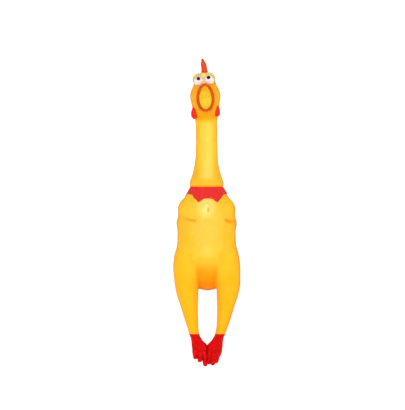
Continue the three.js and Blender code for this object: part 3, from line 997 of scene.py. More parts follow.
def paleness_and_highlights(p: Array) -> Array:
    """How far the vinyl shows lighter, lemon yellow: lighter lids and crown, and painted highlights down the
    middle of the neck, breast and belly.

    Args:
        p: Points, one per row.

    Returns:
        Shares from 0 to 1.
    """
    x, y, z = p.T
    q = HEAD.upright(p)
    lids = ease(q[:, 2], 150, 157)
    # painted highlights: the front of the neck, the breast, the belly and the middle of the torso
    front = ease(y, 2, -16) * haze(np.abs(x - 1.0), 8.0)
    throat = 0.40 * front * ease(z, 44, 52) * (1 - ease(z, 104, 112))
    breast = 0.95 * haze(np.hypot(x + 0.5, (z - 19) * 0.75), 9.5) * (y < 0)
    belly = 0.35 * haze(np.hypot(x - 0.5, (z + 25) * 0.9), 9.0) * (y < 0)
    middle = 0.30 * haze(np.hypot(x, (z - 2) * 0.45), 19.0) * ease(y, 2, -12)
    breast = np.maximum.reduce([breast, belly, middle])
    return np.clip(np.maximum.reduce([lids, throat, breast]), 0, 1)


def overspray(p: Array) -> Array:
    """Cream from the eyes' paint that fell between and below them: a haze about a line from eye to eye.

    Args:
        p: Points, one per row.

    Returns:
        Shares from 0 to 1.
    """
    q = HEAD.upright(p)
    right, left = (np.array(HEAD.eye_middle(side)) for side in (-1, 1))
    line = [tuple(right + (1.5, -4.5, -1.0)), tuple(left + (-1.5, -4.5, -1.0))]
    return 0.92 * haze(limb(q, line, [1.0, 1.0]), 3.0) * (q[:, 1] < -6) * (1 - ease(q[:, 2], 155.3, 158))


def hollows(shape: Field, p: Array, normals: Array, reach: float) -> Array:
    """How hemmed in each point is: what the field lacks of a free rise, one reach out along the normal; the
    finishes paint shade by it.
    """
    return np.clip(1 - shape(p + reach * normals) / reach, 0, 1)


# ---- finishes


class Paint(Enum):
    """Sprayed colours, each with its linear red, green and blue."""

    BEAK_ORANGE = (0.74, 0.098, 0.004)
    COMB_RED = (0.84, 0.082, 0.014)
    DROP_RED = (0.90, 0.030, 0.008)
    RUFF_RED = (0.84, 0.032, 0.026)
    FOOT_RED = (0.74, 0.002, 0.002)
    EYE_CREAM = (0.93, 0.80, 0.70)
    PUPIL_BLACK = (0.006, 0.004, 0.003)
    MOUTH_YELLOW = (1.0, 0.80, 0.07)


def new_material(name: str) -> tuple[Material, Tree, Node]:
    """An empty node material.

    Args:
        name: The material's name.

    Returns:
        The material, its node tree and its shader.
    """
    material = bpy.data.materials.new(name)
    material.use_nodes = True
    return material, material.node_tree, material.node_tree.nodes["Principled BSDF"]


def add_node(tree: Tree, kind: str, values: dict | None = None, **settings: object) -> Node:
    """A new node.

    Args:
        tree: Where it goes.
        kind: Its type's name.
        values: Numbers for some of its sockets.
        **settings: Its own settings.

    Returns:
        The node.
    """
    made = tree.nodes.new(kind)
    for key, value in settings.items():
        setattr(made, key, value)
    for key, value in (values or {}).items():
        made.inputs[key].default_value = value
    return made


def mask(tree: Tree, name: str) -> Socket:
    """The value that the piece's points hold under a name."""
    return add_node(tree, "ShaderNodeAttribute", attribute_name=name).outputs["Fac"]


def blend_colours(tree: Tree, share: Socket, first: Socket | Triple, second: Socket | Triple) -> Socket:
    """A colour between two.

    Args:
        tree: The material's nodes.
        share: How much of the second.
        first: A colour's socket, or its three numbers.
        second: The same for the other colour.

    Returns:
        The blended colour.
    """
    mix = add_node(tree, "ShaderNodeMix", data_type="RGBA")
    tree.links.new(share, mix.inputs[0])
    for socket, colour in ((mix.inputs[6], first), (mix.inputs[7], second)):
        if isinstance(colour, Socket):
            tree.links.new(colour, socket)
        else:
            socket.default_value = (*colour, 1)
    return mix.outputs[2]


def relief(tree: Tree, shader: Node, layers: list[tuple[Socket, float, float]]) -> None:
    """Chains bumps on to a shader.

    Args:
        tree: The material's nodes.
        shader: The shader.
        layers: For each bump its height, its strength and its depth in metres.
    """
    normal = None
    for height, strength, depth in layers:
        bump = add_node(tree, "ShaderNodeBump", {"Strength": strength, "Distance": depth})
        tree.links.new(height, bump.inputs["Height"])
        if normal is not None:
            tree.links.new(normal, bump.inputs["Normal"])
        normal = bump.outputs["Normal"]
    tree.links.new(normal, shader.inputs["Normal"])


def on_object(tree: Tree, texture: Node) -> Node:
    """Puts a texture on Object coordinates and gives it back."""
    tree.links.new(add_node(tree, "ShaderNodeTexCoord").outputs["Object"], texture.inputs["Vector"])
    return texture


def noise(tree: Tree, size_mm: float, detail: float = 2.0, roughness: float = 0.5) -> Socket:
    """Noise on Object coordinates.

    Args:
        tree: The material's nodes.
        size_mm: About how wide its features are, in millimetres.
        detail: Finer layers.
        roughness: How strong those are.

    Returns:
        Its value.
    """
    values = {"Scale": 1 / (size_mm * MM), "Detail": detail, "Roughness": roughness}
    return on_object(tree, add_node(tree, "ShaderNodeTexNoise", values)).outputs["Fac"]


def spread(
    tree: Tree, source: Socket, low: float, high: float, from_low: float = 0.3, from_high: float = 0.7
) -> Socket:
    """A value stretched from one range to another, and held inside it.

    Args:
        tree: The material's nodes.
        source: The value.
        low: What from_low becomes.
        high: What from_high becomes.
        from_low: Lower end of the range that is read.
        from_high: Upper end.

    Returns:
        The stretched value.
    """
    made = add_node(tree, "ShaderNodeMapRange", {1: from_low, 2: from_high, 3: low, 4: high})
    tree.links.new(source, made.inputs[0])
    return made.outputs[0]


def uneven_gloss(tree: Tree, shader: Node, patches: Socket, least: float, rise: float) -> None:
    """Varies a shader's roughness in patches.

    Args:
        tree: The material's nodes.
        shader: The shader.
        patches: Noise.
        least: The lowest roughness.
        rise: How much more the roughest has.
    """
    tree.links.new(spread(tree, patches, least, least + rise), shader.inputs["Roughness"])


def clear_coat(shader: Node, specular: float, tint: Triple, weight: float, roughness: float) -> None:
    """Sets a shader's gleam: its own, with a tint, and the coat's over it.

    Args:
        shader: The shader.
        specular: Specular level.
        tint: Its colour.
        weight: The coat's weight.
        roughness: The coat's roughness.
    """
    shader.inputs["Specular IOR Level"].default_value = specular
    shader.inputs["Specular Tint"].default_value = (*tint, 1)
    shader.inputs["Coat Weight"].default_value = weight
    shader.inputs["Coat Roughness"].default_value = roughness


@dataclass(frozen=True)
class SoftVinyl:
    """The skin: glossy yellow vinyl with orange sprayed over it, painted shade in its creases and hollows,
    painted highlights on neck, breast and belly, and pores like a plucked bird's.
    """

    yellow: Triple = (0.97, 0.55, 0.018)
    cream: Triple = (0.93, 0.72, 0.52)
    # a dark orange for painted shade in creases and hollows
    shade_amber: Triple = (0.84, 0.30, 0.005)
    # sprayed orange, which also carries painted shade
    orange: Triple = (1.0, 0.27, 0.0)
    # lighter lids and crown, and painted highlights on neck, breast and belly
    lemon: Triple = (0.96, 0.80, 0.22)
    thick: Triple = (0.94, 0.48, 0.008)
    gloss_tint: Triple = (1.0, 0.72, 0.12)
    specular: float = 0.11
    coat: float = 0.12
    coat_roughness: float = 0.12
    roughness: float = 0.25
    cloud_mm: float = 14.0
    patch_mm: float = 5.0
    dent_mm: float = 9.0
    dent_depth: float = 0.0006
    pore_mm: float = 2.3
    pore_depth: float = 0.00012
    grain_mm: float = 0.7
    grain_depth: float = 0.00004

    def material(self) -> Material:
        """The vinyl, whose colours are laid over each other by the skin's masks.

        Returns:
            The material.
        """
        material, tree, shader = new_material("soft_vinyl")
        cloudy = noise(tree, self.cloud_mm, 3.0)
        uneven = add_node(tree, "ShaderNodeMath", operation="MULTIPLY")
        tree.links.new(mask(tree, "orange_spray_and_shade"), uneven.inputs[0])
        tree.links.new(spread(tree, cloudy, 0.85, 1.12), uneven.inputs[1])
        # painted shade: a dark orange laid into creases and hollows, as much as the skin is hemmed in
        painted_shade = spread(tree, mask(tree, "hollow"), 0.0, 0.6, 0.12, 0.85)
        base = blend_colours(tree, spread(tree, cloudy, 0, 1), self.thick, self.yellow)
        # lighter lemon for the lids and crown, and painted highlights
        base = blend_colours(tree, mask(tree, "pale_and_highlights"), base, self.lemon)
        # sprayed orange, and painted shade in creases, under lip and chin and on the flanks
        base = blend_colours(tree, uneven.outputs[0], base, self.orange)
        base = blend_colours(tree, painted_shade, base, self.shade_amber)
        base = blend_colours(tree, mask(tree, "cream"), base, self.cream)
        tree.links.new(base, shader.inputs["Base Color"])
        uneven_gloss(tree, shader, noise(tree, self.patch_mm, 4.0), self.roughness, 0.11)
        clear_coat(shader, self.specular, self.gloss_tint, self.coat, self.coat_roughness)
        scale = {"Scale": 1 / (self.pore_mm * MM)}
        pores = on_object(tree, add_node(tree, "ShaderNodeTexVoronoi", scale, feature="SMOOTH_F1"))
        relief(tree, shader, [
            (noise(tree, self.dent_mm, 2.0), 0.25, self.dent_depth),
            (pores.outputs["Distance"], 0.35, self.pore_depth),
            (noise(tree, self.grain_mm, 2.0), 0.15, self.grain_depth),
        ])
        return material


@dataclass(frozen=True)
class SprayedPaint:
    """Paint on vinyl: an uneven coat, darker where it is thin, with painted shade in hollows and a little orange
    peel.
    """

    paint: Paint
    patch_mm: float = 5.0
    contrast: float = 0.22
    roughness: float = 0.30
    coat: float = 0.22
    # colour of the painted shade in hollows; without one, the paint at 45 per cent
    shade_colour: Triple | None = None
    peel_depth: float = 0.00010
    specular: float = 0.09
    coat_roughness: float = 0.10

    def material(self) -> Material:
        """The paint, darker in patches, with painted shade in hollows.

        Returns:
            The material.
        """
        material, tree, shader = new_material(self.paint.name.lower())
        full = self.paint.value
        thin = tuple(c * (1 - self.contrast) for c in full)
        base = blend_colours(tree, spread(tree, noise(tree, self.patch_mm, 4.0, 0.6), 0, 1), thin, full)
        # painted shade: a darker colour laid into hollows, as much as the skin is hemmed in
        shade_colour = self.shade_colour or tuple(c * 0.45 for c in full)
        base = blend_colours(tree, spread(tree, mask(tree, "hollow"), 0, 0.85, 0.1, 0.7), base, shade_colour)
        tree.links.new(base, shader.inputs["Base Color"])
        uneven_gloss(tree, shader, noise(tree, self.patch_mm * 0.5, 3.0), self.roughness, 0.14)
        tint = tuple(max(c, 0.06) ** 0.7 for c in full)
        clear_coat(shader, self.specular, tint, self.coat, self.coat_roughness)
        relief(tree, shader, [
            (noise(tree, 2.6, 3.0), 0.35, self.peel_depth * 2),
            (noise(tree, 0.8, 2.0), 0.25, self.peel_depth * 0.5),
        ])
        return material


@dataclass(frozen=True)
class MouldedPlastic:
    """Hard white plastic as it leaves the mould."""

    name: str
    colour: Triple
    roughness: float = 0.42

    def material(self) -> Material:
        """The plastic: faint flow marks, and a fine spark-eroded grain.

        Returns:
            The material.
        """
        material, tree, shader = new_material(self.name)
        shade = tuple(c * 0.88 for c in self.colour)
        flow = spread(tree, noise(tree, 4.0, 3.0), 0, 1)
        tree.links.new(blend_colours(tree, flow, shade, self.colour), shader.inputs["Base Color"])
        uneven_gloss(tree, shader, noise(tree, 1.5, 3.0), self.roughness, 0.15)
        relief(tree, shader, [(noise(tree, 0.35, 2.0), 0.3, 0.00002)])
        return material


# ---- sub-assemblies


@dataclass
class SkinPiece:
    """One stretch of the skin between two levels, and the bodies it follows."""

    name: str
    shape: Field
    low_corner: Triple
    high_corner: Triple
    low_cut: float | None
    high_cut: float | None
    follows: tuple[str, ...]
    stands_for: tuple[str, ...]
    side: int = 0
    step: float = 0.9
    bend: tuple[Triple, Triple] | None = None
    slot: str = "vinyl_yellow"
    hollow_reach: float = 2.2

    def build(self, material: Material) -> bpy.types.Object:
        """Nets, slices, masks and dresses the piece; one without a bend rides its first body, one with a bend
        stays in place.

        Args:
            material: The skin's or the paint's.

        Returns:
            The piece.
        """
        points, faces = net_surface(self.shape, self.low_corner, self.high_corner, self.step)
        cuts = [z for z in (self.low_cut, self.high_cut) if z is not None]
        sliced = slice_levels(Shape(points, faces), cuts)
        low = -1e3 if self.low_cut is None else self.low_cut
        high = 1e3 if self.high_cut is None else self.high_cut
        part = part_between(sliced, low, high, self.side, lambda p: outward(self.shape, p))
        # sprayed orange with painted shade, lighter tone with painted highlights, the eyes' cream, and how
        # hemmed in each point is, which the finishes paint as shade
        masks = {
            "orange_spray_and_shade": orange_spray_and_shade(part.points),
            "pale_and_highlights": paleness_and_highlights(part.points),
            "cream": overspray(part.points),
            "hollow": hollows(self.shape, part.points, part.normals, self.hollow_reach),
        }
        piece = make_piece(self.name, part, material, masks)
        if self.bend is None:
            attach(piece, self.follows[0])
        else:
            start, end = (tuple(c * MM for c in place) for place in self.bend)
            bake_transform(piece)
            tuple(start)
            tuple(end)
        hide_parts(*self.stands_for)
        LOG.info("%s: %d faces, follows %s", self.name, len(part.faces), " and ".join(self.follows))
        return piece


@dataclass
class Skin:
    """The yellow vinyl, in stretches that each lie across one joint."""

    finish: SoftVinyl = field(default_factory=SoftVinyl)
    root_seam: float = 44.0
    hip_seam: float = -68.2
    press: tuple[float, float] = (-17.5, -29.5)

    def build(self) -> None:
        """Torso, neck, head and legs."""
        vinyl = self.finish.material()
        lower, upper = middle_mm("lower_neck"), middle_mm("upper_neck")
        throat = HEAD_Z + 2.0
        SkinPiece(
            "torso_and_thighs", torso_shape, (-42, -36, -72), (42, 38, 48), self.hip_seam, self.root_seam,
            ("torso", "belly_panel"), ("torso_skin", "belly_panel", "neck_cuff"), step=0.8,
            bend=((0, self.press[0], 0), (0, self.press[1], 0)),
        ).build(vinyl)
        bends = [
            ("neck_root", self.root_seam, lower, "torso", "lower_neck", ("neck_root_flex",), 20.0),
            ("neck_middle", lower, upper, "lower_neck", "upper_neck", ("lower_neck", "neck_middle_flex"), 14.0),
            ("neck_throat", upper, throat, "upper_neck", "head", ("upper_neck", "throat_flex"), 12.5),
        ]
        for name, low, high, first, second, nodes, length in bends:
            middle = middle_mm(nodes[-1])
            shift = max(0.0, low + 0.2 - (middle - length / 2))
            start, end = middle - length / 2 + shift, min(high - 0.2, middle + length / 2 + shift)
            SkinPiece(
                name, neck_shape, (-20, -20, low - 3), (20, 20, high + 3), low, high, (first, second), nodes,
                bend=((0, 0, start), (0, 0, end)),
            ).build(vinyl)
        SkinPiece(
            "head", head_shape, (-22, -32, throat - 3), (22, 24, 166), throat, None,
            ("head",), ("head_skin",), step=0.6,
        ).build(vinyl)
        for word, side in (("left", 1), ("right", -1)):
            self.build_leg(word, side, vinyl)

    def build_leg(self, word: str, side: int, vinyl: Material) -> None:
        """The three stretches of one leg, each across one of its joints.

        Args:
            word: left or right.
            side: 1 for the bird's left, -1 for its right.
            vinyl: The skin's finish.
        """
        knee_seam, shin_seam = middle_mm(f"{word}_upper_leg"), middle_mm(f"{word}_lower_leg")
        stretches = [
            ("hip", self.hip_seam, knee_seam, "torso", f"{word}_upper_leg", (), 14.0),
            ("knee", knee_seam, shin_seam, f"{word}_upper_leg", f"{word}_lower_leg", ("upper_leg",), 15.0),
            ("ankle", shin_seam, FOOT_SEAM, f"{word}_lower_leg", f"{word}_foot", ("lower_leg",), 9.0),
        ]
        for joint, high, low, first, second, firm, length in stretches:
            nodes = tuple(f"{word}_{node}" for node in (*firm, f"{joint}_flex"))
            middle = middle_mm(nodes[-1])
            top = min(high - 0.2, middle + length / 2)
            bottom = max(low + 0.2, middle - length / 2)
            edges = sorted((side * 2.0, side * 40.0))
            SkinPiece(
                f"{word}_{joint}", leg_shape(side), (edges[0], -24, low - 3), (edges[1], 20, high + 3),
                low, high, (first, second), nodes, side=side, bend=((0, 0, top), (0, 0, bottom)),
            ).build(vinyl)


@dataclass
class Feet:
    """The red feet."""

    finish: SprayedPaint = field(default_factory=lambda: SprayedPaint(Paint.FOOT_RED, patch_mm=7.0))

    def build(self) -> None:
        """Both feet, below the ankles."""
        red = self.finish.material()
        for word, side in (("left", 1), ("right", -1)):
            edges = sorted((-side * 1.5, side * 24.0))
            SkinPiece(
                f"{word}_foot_skin", leg_shape(side), (edges[0], -18, -149), (edges[1], 14, ANKLE_Z + 3),
                None, FOOT_SEAM, (f"{word}_foot",), (f"{word}_foot",),
                step=0.55, slot="paint_red", hollow_reach=1.4,
            ).build(red)


def pole_grid(rows: Array) -> tuple[Array, list]:
    """A closed form from rings of points whose first and last rings are single points.

    Args:
        rows: Points, shaped rings by points per ring by 3.

    Returns:
        Points and faces: triangles at the poles, four-sided faces between.
    """
    count, around = rows.shape[:2]
    points = np.vstack([rows[0, :1], rows[1:-1].reshape(-1, 3), rows[-1, :1]])
    body = (grid_faces(count - 2, around) + 1).tolist()
    j = np.arange(around)
    k = (j + 1) % around
    last = len(points) - 1
    start = last - around
    first_fan = np.stack([np.zeros(around, int), 1 + k, 1 + j], 1).tolist()
    last_fan = np.stack([np.full(around, last), start + j, start + k], 1).tolist()
    return points, first_fan + body + last_fan


def outwards(shape: Shape) -> Shape:
    """The same closed form with its faces turned outwards, judged by its signed volume.

    Args:
        shape: The form.

    Returns:
        The form, its faces turned round if its volume was below zero.
    """
    volume = 0.0
    for f in shape.faces:
        a, b, c = (shape.points[i] for i in f[:3])
        volume += float(np.dot(a, np.cross(b, c)))
        if len(f) == 4:
            volume += float(np.dot(a, np.cross(c, shape.points[f[3]])))
    if volume < 0:
        return Shape(shape.points, [list(f)[::-1] for f in shape.faces], shape.normals)
    return shape


@dataclass
class Face:
    """What is set into the head or stands on it: eyes, rim, mouth, comb and wattles."""

    comb_points: tuple[tuple[float, float, float, float], ...] = (  # y and z of root, then of tip
        (-3.2, 159.0, -6.0, 165.0),
        (-2.0, 159.0, -3.8, 169.5),
        (3.0, 160.0, 3.4, 174.4),
        (8.0, 158.5, 10.2, 170.5),
        (12.0, 155.0, 16.0, 164.5),
    )
    comb_ridge: tuple[Triple, ...] = ((0, -3, 159.2), (0, 0, 160.0), (0, 6, 159.8), (0, 13, 154.5))
    pupil_radius: float = 2.0
    pupil_rise: float = 0.16
    eye_gap: float = 0.1  # from each eyeball to the line between them
    lining_width: float = 0.985  # of its room in the head
    lining_depth: float = 0.97
    gaze: tuple[tuple[float, float], tuple[float, float]] = ((-0.4, 2.0), (-0.5, 2.2))
    wattle_length: float = 13.0
    wattle_radius: float = 3.5

    def build(self) -> None:
        """Every piece of the face."""
        self.build_eyes()
        self.build_rim()
        self.build_lining()
        self.build_comb()
        self.build_wattles()

    def attach(self, name: str, shape: Shape, material: Material, node: str) -> None:
        """Leans an upright shape with the head, makes its piece and rides it on the head.

        Args:
            name: The piece's name.
            shape: Its mesh, upright.
            material: Its finish.
            node: The CAD node it stands for.
        """
        leaned = outwards(Shape(HEAD.leaned(shape.points), shape.faces))
        piece = make_piece(name, leaned, material)
        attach(piece, "head")
        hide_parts(node)
        LOG.info("%s: %d faces, rides head", name, len(shape.faces))

    def build_eyes(self) -> None:
        """Two eyeballs, each a ball of rings, and a pupil that is a thin lens lying on it."""
        cream = SprayedPaint(Paint.EYE_CREAM, contrast=0.10, roughness=0.22).material()
        black = SprayedPaint(Paint.PUPIL_BLACK, contrast=0.4, roughness=0.16).material()
        for index, (word, side) in enumerate((("right", -1), ("left", 1))):
            middle = np.array(HEAD.eye_middle(side))
            tilt = np.linspace(0, math.pi, 33)[:, None]
            turn = full_turn(48)[None, :]
            level = np.sin(tilt)
            ball = np.stack([level * np.cos(turn), level * np.sin(turn), np.cos(tilt) + 0 * turn], -1)
            points, faces = pole_grid(middle + HEAD.eye_radius * ball)
            x = points[:, 0]
            meeting = HEAD.eye_shift + side * self.eye_gap
            points[:, 0] = np.where(side * x < side * HEAD.eye_shift + self.eye_gap, meeting, x)
            self.attach(f"{word}_eyeball", Shape(points, faces), cream, f"{word}_eye")
            self.build_pupil(word, middle, self.gaze[index], black)

    def build_pupil(self, word: str, middle: Array, gaze: tuple[float, float], black: Material) -> None:
        """A lens on the eyeball: rings about the gaze, as high as the root of 1 less their share squared.

        Args:
            word: right or left.
            middle: The eyeball's middle.
            gaze: How far across and up the lens sits.
            black: Its paint.
        """
        across, up = gaze
        ahead = np.array([across, -math.sqrt(HEAD.eye_radius**2 - across**2 - up**2), up]) / HEAD.eye_radius
        right = np.cross(ahead, (0, 0, 1.0))
        right /= np.linalg.norm(right)
        over = np.cross(right, ahead)
        rings = np.linspace(0, 1, 9)
        shares = np.concatenate([rings, np.linspace(0.9, 0, 5)])
        heights = np.concatenate([self.pupil_rise * np.sqrt(1 - rings**2), np.full(5, -0.25)])
        turn = full_turn(32)
        angle = shares * self.pupil_radius / HEAD.eye_radius
        spoke = np.cos(turn)[None, :, None] * right + np.sin(turn)[None, :, None] * over
        way = np.cos(angle)[:, None, None] * ahead + np.sin(angle)[:, None, None] * spoke
        points, faces = pole_grid(middle + (HEAD.eye_radius + heights)[:, None, None] * way)
        self.attach(f"{word}_pupil_dot", Shape(points, faces), black, f"{word}_pupil")

    def build_rim(self) -> None:
        """The beak's rim: rings of points carried round the mouth's oval, square to it."""
        orange = SprayedPaint(Paint.BEAK_ORANGE, patch_mm=4.0, contrast=0.3, roughness=0.26).material()
        t = full_turn(96)
        line = HEAD.rim_place(t, HEAD.rim_share, 0.3)
        along = np.roll(line, -1, axis=0) - np.roll(line, 1, axis=0)
        along /= np.linalg.norm(along, axis=1, keepdims=True)
        away = line - np.array([HEAD.mouth_x, 0, HEAD.mouth_z])
        away[:, 1] = 0
        away -= (away * along).sum(1, keepdims=True) * along
        away /= np.linalg.norm(away, axis=1, keepdims=True)
        third = np.cross(along, away)
        ring = full_turn(18)
        cosine, sine = np.cos(ring)[None, :, None], np.sin(ring)[None, :, None]
        tube = line[:, None] + HEAD.rim_radius * (cosine * away[:, None] + sine * third[:, None])
        around = len(ring)
        faces = grid_faces(len(t) + 1, around) % (len(t) * around)
        rim = Shape(tube.reshape(-1, 3), faces.tolist())
        self.attach("beak_rim_tube", rim, orange, "beak_rim")

    def build_lining(self) -> None:
        """The mouth's lining, half an egg: the rim's oval, less wide by the cosine as it goes in by the sine."""
        # the lining's darker orange is painted shade on the palate
        paint = SprayedPaint(
            Paint.MOUTH_YELLOW, patch_mm=9.0, contrast=0.10, roughness=0.30, shade_colour=(1.0, 0.40, 0.01)
        )
        yellow = paint.material()
        t = full_turn(96)
        width, depth = HEAD.mouth_share * self.lining_width, HEAD.mouth_depth * self.lining_depth
        sweep = np.linspace(0, math.pi / 2, 30)
        rows = [HEAD.rim_place(t, width * math.cos(s), depth * math.sin(s)) for s in sweep]
        for row, share in zip(rows, np.cos(sweep)):
            row[:, 1] = row[:, 1] * share + row[:, 1].max() * (1 - share)
        points = np.vstack([np.vstack(rows[:-1]), rows[-1].mean(0)[None]])
        count = len(rows) - 1
        faces = grid_faces(count, len(t)).tolist()
        last, start = len(points) - 1, (count - 1) * len(t)
        j = np.arange(len(t))
        faces += np.stack([np.full(len(t), last), start + (j + 1) % len(t), start + j], 1)[:, ::-1].tolist()
        # painted shade on the palate: the lining turns orange towards its top
        palate_shade = 0.75 * ease(points[:, 2], HEAD.mouth_z + 3, HEAD.mouth_z + 13)
        lining = make_piece("mouth_bowl", Shape(HEAD.leaned(points), faces), yellow, {"hollow": palate_shade})
        wall = lining.modifiers.new("wall", "SOLIDIFY")
        wall.thickness = HEAD.lining_wall * MM
        wall.offset = -1
        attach(lining, "head")
        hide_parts("mouth_lining")
        LOG.info("mouth_bowl: %d faces, rides head", len(faces))

    def comb_shape(self, q: Array) -> Array:
        """Five points on a ridge that follows the crown, all curving towards the bird's right as they rise.

        Args:
            q: Upright points, one per row.

        Returns:
            Signed distances.
        """
        rise = np.clip((q[:, 2] - 160) / 14, 0, 1.2)
        q = q + np.stack([1.75 * rise**1.5 - 0.2, 0 * rise, 0 * rise], axis=1)
        d = limb(q, list(self.comb_ridge), [1.9, 2.9, 3.2, 2.6], 2.0)
        for y0, z0, y1, z1 in self.comb_points:
            line = [(0, y0, z0), (0, (y0 + y1) / 2, (z0 + z1) / 2 + 0.4), (0, y1, z1 - 1.3)]
            d = soft_join(d, limb(q, line, [3.0, 2.6, 1.5], 2.0), 1.2)
        return d

    def build_comb(self) -> None:
        """The comb, netted finely from its field."""
        red = SprayedPaint(Paint.COMB_RED, contrast=0.18).material()
        points, faces = net_surface(self.comb_shape, (-7, -15, 148), (7, 21, 177), 0.5)
        self.attach("comb_skin", Shape(points, faces.tolist()), red, "comb")

    def build_wattles(self) -> None:
        """Two drops, turned about an upright line: radius sin(pi u) times the root of sin(pi u / 2)."""
        red = SprayedPaint(Paint.DROP_RED, contrast=0.15, roughness=0.24).material()
        u = np.linspace(0, 1, 33)
        radius = self.wattle_radius * np.sin(np.pi * u) * np.sqrt(np.sin(np.pi * u / 2)) * 1.12
        fall = self.wattle_length * (1 - np.cos(np.pi * u)) / 2
        turn = full_turn(40)
        for word, x, top in (("right", -12.2, 124.3), ("left", 11.5, 125.8)):
            ring = np.stack([
                x + radius[:, None] * np.cos(turn),
                -7.5 + 1.15 * radius[:, None] * np.sin(turn),
                top - fall[:, None] + 0 * turn,
            ], -1)
            points, faces = pole_grid(ring)
            self.attach(f"{word}_wattle_drop", Shape(points, faces), red, f"{word}_wattle")


@dataclass
class Collar:
    """The red ruff under the neck's lip, its lower edge falling in points."""

    top: float = 42.0
    saw: tuple[tuple[float, float], ...] = (  # degrees from the front, and height
        (0, 28.4), (11, 27.9), (25.5, 24.4), (37, 27.8), (53, 32.2),
        (88, 33.6), (112, 29.5), (132, 33.4), (154, 28.5), (180, 32.5),
    )
    section: tuple[tuple[float, float], ...] = (  # share of the height, and millimetres out from the skin
        (0.0, -0.5), (0.0, 0.15), (0.015, 0.45), (0.05, 0.68), (0.12, 0.8), (0.3, 0.85),
        (0.5, 0.85), (0.7, 0.8), (0.85, 0.7), (1.0, 0.6), (1.0, -0.5), (0.5, -0.5),
    )
    turn: float = 3.5
    pleats: int = 17
    pleat_depth: float = 0.48
    halvings: int = 22

    def edge(self, angle: Array) -> Array:
        """Height of the lower edge, half eased and half straight between the saw's corners.

        Args:
            angle: Angles round the neck, from +X.

        Returns:
            A height for each.
        """
        off = np.degrees(angle) + 90 - self.turn
        off = np.abs((off + 180) % 360 - 180)
        corners = np.array(self.saw)
        i = np.clip(np.searchsorted(corners[:, 0], off, side="right") - 1, 0, len(corners) - 2)
        share = ease(off, corners[i, 0], corners[i + 1, 0])
        straight = (off - corners[i, 0]) / (corners[i + 1, 0] - corners[i, 0])
        share = 0.5 * (share + straight)
        return corners[i, 1] + share * (corners[i + 1, 1] - corners[i, 1])

    def reach(self, angle: Array, z: Array) -> Array:
        """Distance from the neck's line to the torso's skin, by halving along level rays.

        Args:
            angle: Angles round the neck.
            z: A height for each.

        Returns:
            A distance for each.
        """
        low, high = np.full(angle.shape, 5.0), np.full(angle.shape, 40.0)
        for _ in range(self.halvings):
            r = (low + high) / 2
            p = np.stack([r * np.cos(angle), r * np.sin(angle), z], -1).reshape(-1, 3)
            inside = (TORSO.distance(p) < 0).reshape(angle.shape)
            low, high = np.where(inside, r, low), np.where(inside, high, r)
        return (low + high) / 2

    def build(self) -> None:
        """A band whose section is a thin closed loop with a rounded lower edge."""
        angle = full_turn(288)
        edge = self.edge(angle)
        rows = []
        for share, out in self.section:
            z = edge + share * (self.top - edge)
            pleat = self.pleat_depth * np.cos(angle * self.pleats + 2.4 * np.sin(3 * angle)) * (out > 0.3)
            r = self.reach(angle, z) + out + pleat * (1 - share)
            rows.append(np.stack([r * np.cos(angle), r * np.sin(angle), z], -1))
        count, around = len(rows), len(angle)
        faces = grid_faces(count + 1, around) % (count * around)
        shape = outwards(Shape(np.vstack(rows), faces.tolist()))
        red = SprayedPaint(Paint.RUFF_RED, contrast=0.15, roughness=0.20, coat=0.60).material()
        piece = make_piece("collar_band", shape, red)
        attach(piece, "torso")
        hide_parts("collar")
        LOG.info("collar_band: %d faces, rides torso", len(faces))


@dataclass
class Squeaker:
    """The squeaker's own CAD solids, given their plastics."""

    moulded: tuple[str, ...] = ("squeaker_housing", "squeaker_cap", "reed_seat", "reed_clip")

    def build(self) -> None:
        """Dresses the hard pieces and the reed."""
        plastic = MouldedPlastic("squeaker_plastic", (0.83, 0.80, 0.70)).material()
        film = MouldedPlastic("reed_film", (0.68, 0.64, 0.52), roughness=0.25).material()
        for node in self.moulded:
            self.dress(node, plastic)
        self.dress("reed", film)

    def dress(self, node: str, material: Material) -> None:
        """Puts one material on a CAD node.

        Args:
            node: The node's name.
            material: Its plastic.
        """
        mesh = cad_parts[node].data
        mesh.materials.clear()
        mesh.materials.append(material)
        LOG.info("%s: keeps its solid, in %s", node, material.name)


@dataclass(frozen=True)
class SoftBox:
    """A square lamp that faces the origin: where it stands and its width in metres, and its watts."""

    name: str
    place: Triple
    width: float
    watts: float

    def build(self) -> None:
        """Hangs the lamp."""
        light = bpy.data.lights.new(self.name, "AREA")
        light.shape = "SQUARE"
        light.size = self.width
        light.energy = self.watts
        box = bpy.data.objects.new(self.name, light)
        box.location = self.place
        box.rotation_euler = (Vector((0, 0, 0)) - Vector(self.place)).to_track_quat("-Z", "Y").to_euler()
        bpy.context.scene.collection.objects.link(box)


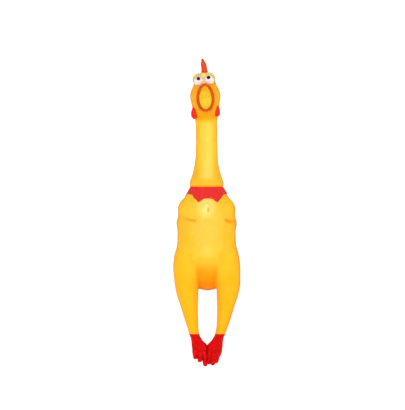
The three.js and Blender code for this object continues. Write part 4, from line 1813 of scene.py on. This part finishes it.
@dataclass
class Studio:
    """White room, soft lights, and the camera."""

    boxes: tuple[SoftBox, ...] = (
        SoftBox("key_box", (-0.25, -1.5, 0.85), 0.7, 6.1),
        SoftBox("fill_box", (0.9, -1.3, 0.3), 1.2, 2.2),
        SoftBox("top_box", (0.0, 0.2, 1.5), 1.5, 3.8),
    )
    world_strength: float = 0.19
    paper_glow: float = 0.44
    paper_shades: tuple[Triple, Triple] = ((0.95, 0.95, 0.95), (1, 1, 1))
    width_mm: float = 422.0
    distance: float = 3.0
    aim: Triple = (-0.0043, 0.0, 0.0216)
    floor_z: float = -0.165
    room: float = 3.6
    cove: float = 0.8
    wall_top: float = 3.2

    def build(self) -> None:
        """Everything round the bird."""
        self.build_sweep()
        self.build_lights()
        self.build_camera()
        scene = bpy.context.scene
        scene.view_settings.view_transform = "Standard"
        scene.view_settings.look = "None"

    def build_sweep(self) -> None:
        """A white floor that curves up into a wall all round: a line turned about the middle's upright."""
        bend = np.linspace(0, math.pi / 2, 16)
        wall = self.room + self.cove
        reach = np.concatenate([[0.0, 1.0, 2.0], self.room + self.cove * np.sin(bend), [wall]])
        height = np.concatenate([np.zeros(3), self.cove * (1 - np.cos(bend)), [self.wall_top]])
        height += self.floor_z
        turn = full_turn(96)
        ring = np.stack([
            reach[:, None] * np.cos(turn), reach[:, None] * np.sin(turn), height[:, None] + 0 * turn,
        ], -1)
        points = np.vstack([ring[0, :1], ring[1:].reshape(-1, 3)])
        j = np.arange(len(turn))
        middle = np.stack([0 * j, 1 + j, 1 + (j + 1) % len(turn)], 1).tolist()
        faces = middle + (grid_faces(len(reach) - 1, len(turn))[:, ::-1] + 1).tolist()
        material, tree, shader = new_material("white_paper")
        white = blend_colours(tree, noise(tree, 60.0), *self.paper_shades)
        tree.links.new(white, shader.inputs["Base Color"])
        shader.inputs["Roughness"].default_value = 0.9
        shader.inputs["Emission Color"].default_value = (1, 1, 1, 1)
        shader.inputs["Emission Strength"].default_value = self.paper_glow
        sweep = make_piece("paper_sweep", Shape(points / MM, faces), material)
        sweep.visible_glossy = False

    def build_lights(self) -> None:
        """Two soft boxes in front, one above, and an even white world."""
        for box in self.boxes:
            box.build()
        world = bpy.data.worlds.new("white_room")
        world.use_nodes = True
        background = world.node_tree.nodes["Background"]
        background.inputs[0].default_value = (1, 1, 1, 1)
        background.inputs[1].default_value = self.world_strength
        bpy.context.scene.world = world

    def build_camera(self) -> None:
        """A long lens, level with the bird's breast."""
        lens = bpy.data.cameras.new("camera")
        lens.sensor_width = 36.0
        lens.sensor_fit = "HORIZONTAL"
        lens.lens = lens.sensor_width * self.distance / (self.width_mm * MM)
        camera = bpy.data.objects.new("camera", lens)
        camera.location = (self.aim[0], -self.distance, self.aim[2])
        camera.rotation_euler = (math.pi / 2, 0, 0)
        bpy.context.scene.collection.objects.link(camera)
        bpy.context.scene.camera = camera


def main() -> None:
    """Builds every sub-assembly in order."""
    logging.basicConfig(level=logging.INFO, format="%(name)s %(message)s")
    for assembly in (Studio(), Skin(), Feet(), Collar(), Face(), Squeaker()):
        assembly.build()


if __name__ == "__main__":
    main()
